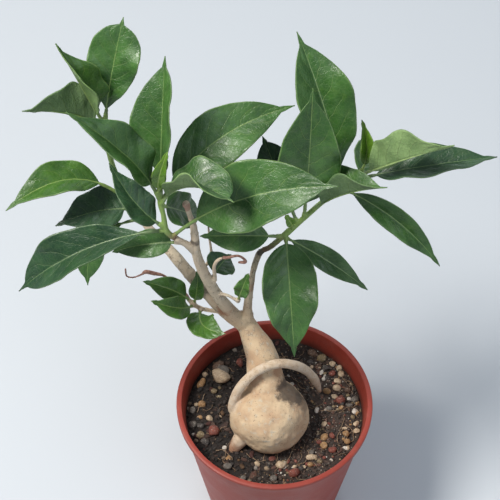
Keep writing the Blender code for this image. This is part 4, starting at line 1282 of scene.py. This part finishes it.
@dataclass
class WoodyStem:
    """The swollen stem with its neck, branches, twigs and roots, grown as one piece."""

    centre: Vector = field(default_factory=lambda: Vector((-2.8, -7.4, 84.5)) * MM)
    radius: float = 19.3 * MM
    root_depth: float = 40.0 * MM
    root_tip: float = 4.0 * MM
    grain: float = 0.5 * MM

    def bulb(self) -> bmesh.types.BMesh:
        """The lumpy ball, drawn down to a blunt root."""
        bm = bmesh.new()
        bmesh.ops.create_uvsphere(bm, u_segments=72, v_segments=56, radius=1.0)
        for vert in bm.verts:
            way = vert.co.normalized()
            lump = 0.055 * noise.noise(way * 1.6 + Vector((3, 1, 2))) + 0.02 * noise.noise(way * 4.1)
            spot = way * (self.radius * (1 + lump))
            spot.x *= 1.02
            if way.z < -0.45:
                fall = (-0.45 - way.z) / 0.55
                width = (1 - fall) + fall * self.root_tip / self.radius
                ring = self.radius * 0.89 * width ** 1.4 / max(way.xy.length, 1e-6)
                spot.x = way.x * ring
                spot.y = way.y * ring
                spot.z = -0.45 * self.radius - fall * (self.root_depth - 0.45 * self.radius)
            if way.z < -0.999:
                spot.x = 0
                spot.y = 0
            vert.co = self.centre + spot
        return bm

    def cushions(self, bm: bmesh.types.BMesh, stems: dict) -> None:
        """Adds the swellings that the leaves stand on."""
        for name, leaf in LEAVES.items():
            if leaf.stem in stems:
                blade = Blade(name, leaf, LeafSkin(leaf.tone))
                end = blade.foot + blade.out * blade.reach
                route = [Vector((*blade.foot, 1.35 * MM)), Vector((*blade.foot.lerp(end, 0.6), 1.2 * MM)),
                         Vector((*end, 1.05 * MM))]
                absorbed(bm, sleeve(route, 10))

    def knobs(self, bm: bmesh.types.BMesh) -> None:
        """Adds collars, leaf scars and the healed end of the cut branch."""
        rng = random.Random(4)
        for name, stem in WOOD.items():
            if name in ("neck", "buttress_root", "arching_root"):
                continue
            for along in (0.22, 0.4, 0.58, 0.76, 0.9):
                spot, way, radius = stem.place_on(min(0.97, along + rng.uniform(-0.05, 0.05)))
                lie = way.to_track_quat("Z", "Y").to_matrix().to_4x4()
                size = radius * rng.uniform(1.06, 1.16)
                bmesh.ops.create_uvsphere(
                    bm, u_segments=14, v_segments=10, radius=1.0,
                    matrix=Matrix.Translation(spot) @ lie @ Matrix.Diagonal((size, size, 0.9 * MM, 1)))
        bmesh.ops.create_uvsphere(bm, u_segments=18, v_segments=12, radius=1.85 * MM,
                                  matrix=Matrix.Translation(Vector((-41.3, 26, 213.4)) * MM))

    def weathered(self, wood: bpy.types.Object) -> None:
        """Roughens the skin and marks where a root's paler skin lies."""
        tree_points = []
        for name in ("arching_root", "buttress_root"):
            tree_points += [s for s in WOOD[name].stations(6)[8:]]
        tree = kdtree.KDTree(len(tree_points))
        for i, station in enumerate(tree_points):
            tree.insert(station.xyz, i)
        tree.balance()
        bm = bmesh.new()
        bm.from_mesh(wood.data)
        bm.normal_update()
        pale = bm.verts.layers.float.new("pale_root")
        for vert in bm.verts:
            spot = vert.co.copy()
            _, i, far = tree.find(spot)
            vert[pale] = max(0.0, min(1.0, 1.6 - far / (1.3 * tree_points[i].w)))
            drawn = Vector((spot.x, spot.y, spot.z * 0.45))
            ball = max(0.0, min(1.0, (0.112 - spot.z) / 0.02))
            rough = 0.30 * noise.noise(drawn * 330) + 0.14 * noise.noise(drawn * 900)
            rough += ball * 0.55 * noise.noise(spot * 120 + Vector((2, 2, 2)))
            rough += ball * 0.22 * noise.noise(spot * 420)
            fade = 1.0 if far > 3.2 * MM or spot.z > 0.12 else 0.8
            vert.co += vert.normal * (MM * 0.75 * rough * fade * min(1.0, 0.45 + ball))
        bm.to_mesh(wood.data)
        bm.free()

    def build(self) -> None:
        """Grows the bulb and every stem into one skin."""
        bm = self.bulb()
        for seed, (_, stem) in enumerate(WOOD.items()):
            absorbed(bm, stem.knobbly(20, seed))
        self.cushions(bm, WOOD)
        self.knobs(bm)
        wood = piece_of(bm, "woody_stem", (Bark().material(),))
        skin = wood.modifiers.new("one_skin", "REMESH")
        skin.mode = "VOXEL"
        skin.voxel_size = self.grain
        skin.use_smooth_shade = True
        soften = wood.modifiers.new("soften", "SMOOTH")
        soften.factor = 0.5
        soften.iterations = 3
        applied(wood)
        self.weathered(wood)
        wood.data.shade_smooth()
        seated(wood, Slot.BARK, "swollen_stem")
        self.shoots()

    def shoots(self) -> None:
        """The green shoots on the ends of the branches."""
        rind = GreenRind().material()
        for seed, (name, stem) in enumerate(SHOOTS.items()):
            bm = stem.knobbly(16, seed + 40, 0.12)
            self.cushions(bm, (name,))
            shoot = piece_of(bm, name + "_rind", (rind,))
            skin = shoot.modifiers.new("one_skin", "REMESH")
            skin.mode = "VOXEL"
            skin.voxel_size = 0.28 * MM
            skin.use_smooth_shade = True
            soften = shoot.modifiers.new("soften", "SMOOTH")
            soften.iterations = 3
            applied(shoot)
            stations = stem.stations(4)
            ripeness = shoot.data.attributes.new("ripeness", "FLOAT", "POINT")
            for vert in shoot.data.vertices:
                near = min(range(len(stations)), key=lambda i: (stations[i].xyz - vert.co).length_squared)
                ripeness.data[vert.index].value = near / len(stations)
            shoot.data.shade_smooth()
            seated(shoot, Slot.SHOOT, name)


@dataclass
class DriedStalks:
    """The shrivelled twig end and the dried tendril."""

    sides: int = 10

    def build(self) -> None:
        """Builds each stalk with a wrinkled skin."""
        skin = DriedSkin().material()
        for seed, (name, stem) in enumerate(DRY_STALKS.items()):
            bm = stem.knobbly(self.sides, seed + 70, 0.45)
            seated(piece_of(bm, name + "_skin", (skin,)), Slot.DRIED, name)


@dataclass
class Studio:
    """The camera at the photograph's angle, a plain pale floor and soft light."""

    camera_place: tuple = (-0.01248, -0.38995, 0.73126)
    camera_tilt: float = 37.0
    lens: float = 106.0
    floor_colour: tuple = (0.50, 0.53, 0.56)

    def camera(self) -> None:
        """Sets up the camera."""
        data = bpy.data.cameras.new("camera")
        data.lens = self.lens
        data.sensor_width = 36.0
        data.clip_start = 0.01
        data.clip_end = 20.0
        camera = bpy.data.objects.new("camera", data)
        camera.location = self.camera_place
        camera.rotation_euler = (math.radians(self.camera_tilt), 0, 0)
        bpy.context.scene.collection.objects.link(camera)
        bpy.context.scene.camera = camera

    def floor(self) -> None:
        """Lays the floor."""
        bm = bmesh.new()
        bmesh.ops.create_circle(bm, cap_ends=True, segments=64, radius=6.0)
        bench = Bench("studio_floor")
        tint = bench.noise(bench.place(), 3, 2)
        colour = bench.mix(tint, tuple(0.97 * c for c in self.floor_colour), self.floor_colour)
        floor = piece_of(bm, "studio_floor", (bench.done(colour, 0.9, Specular_IOR_Level=0.1),))

    def light(self, name: str, place: tuple, aim: tuple, size: float, power: float, colour: tuple) -> None:
        """Adds a soft box that looks at a point."""
        data = bpy.data.lights.new(name, "AREA")
        data.shape = "DISK"
        data.size = size
        data.energy = power
        data.color = colour
        lamp = bpy.data.objects.new(name, data)
        lamp.location = place
        lamp.rotation_euler = (Vector(place) - Vector(aim)).to_track_quat("Z", "Y").to_euler()
        bpy.context.scene.collection.objects.link(lamp)

    def build(self) -> None:
        """Sets up camera, floor, lights and the pale surroundings."""
        self.camera()
        self.floor()
        aim = (-0.01, 0.0, 0.16)
        self.light("key", (-0.62, -0.10, 1.15), aim, 0.40, 20.0, (1.0, 0.965, 0.91))
        self.light("fill", (0.9, -0.9, 0.9), aim, 1.2, 6.5, (0.86, 0.93, 1.0))
        self.light("back", (0.2, 1.2, 0.9), aim, 1.0, 5.0, (0.92, 0.96, 1.0))
        world = bpy.data.worlds.new("surroundings")
        world.use_nodes = True
        background = world.node_tree.nodes["Background"]
        background.inputs["Color"].default_value = (0.80, 0.88, 1.0, 1.0)
        background.inputs["Strength"].default_value = 0.38
        bpy.context.scene.world = world
        bpy.context.scene.view_settings.view_transform = "Standard"


def main() -> None:
    """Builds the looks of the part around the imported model."""
    logging.basicConfig(level=logging.INFO, format="%(name)s: %(message)s")
    for obj in list(bpy.data.objects):
        bpy.data.objects.remove(obj)
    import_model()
    pot = NurseryPot()
    pot.build()
    PottingSoil(pot).build()
    WoodyStem().build()
    DriedStalks().build()
    Foliage().build()
    Studio().build()
    bpy.context.view_layer.update()


if __name__ == "__main__":
    main()
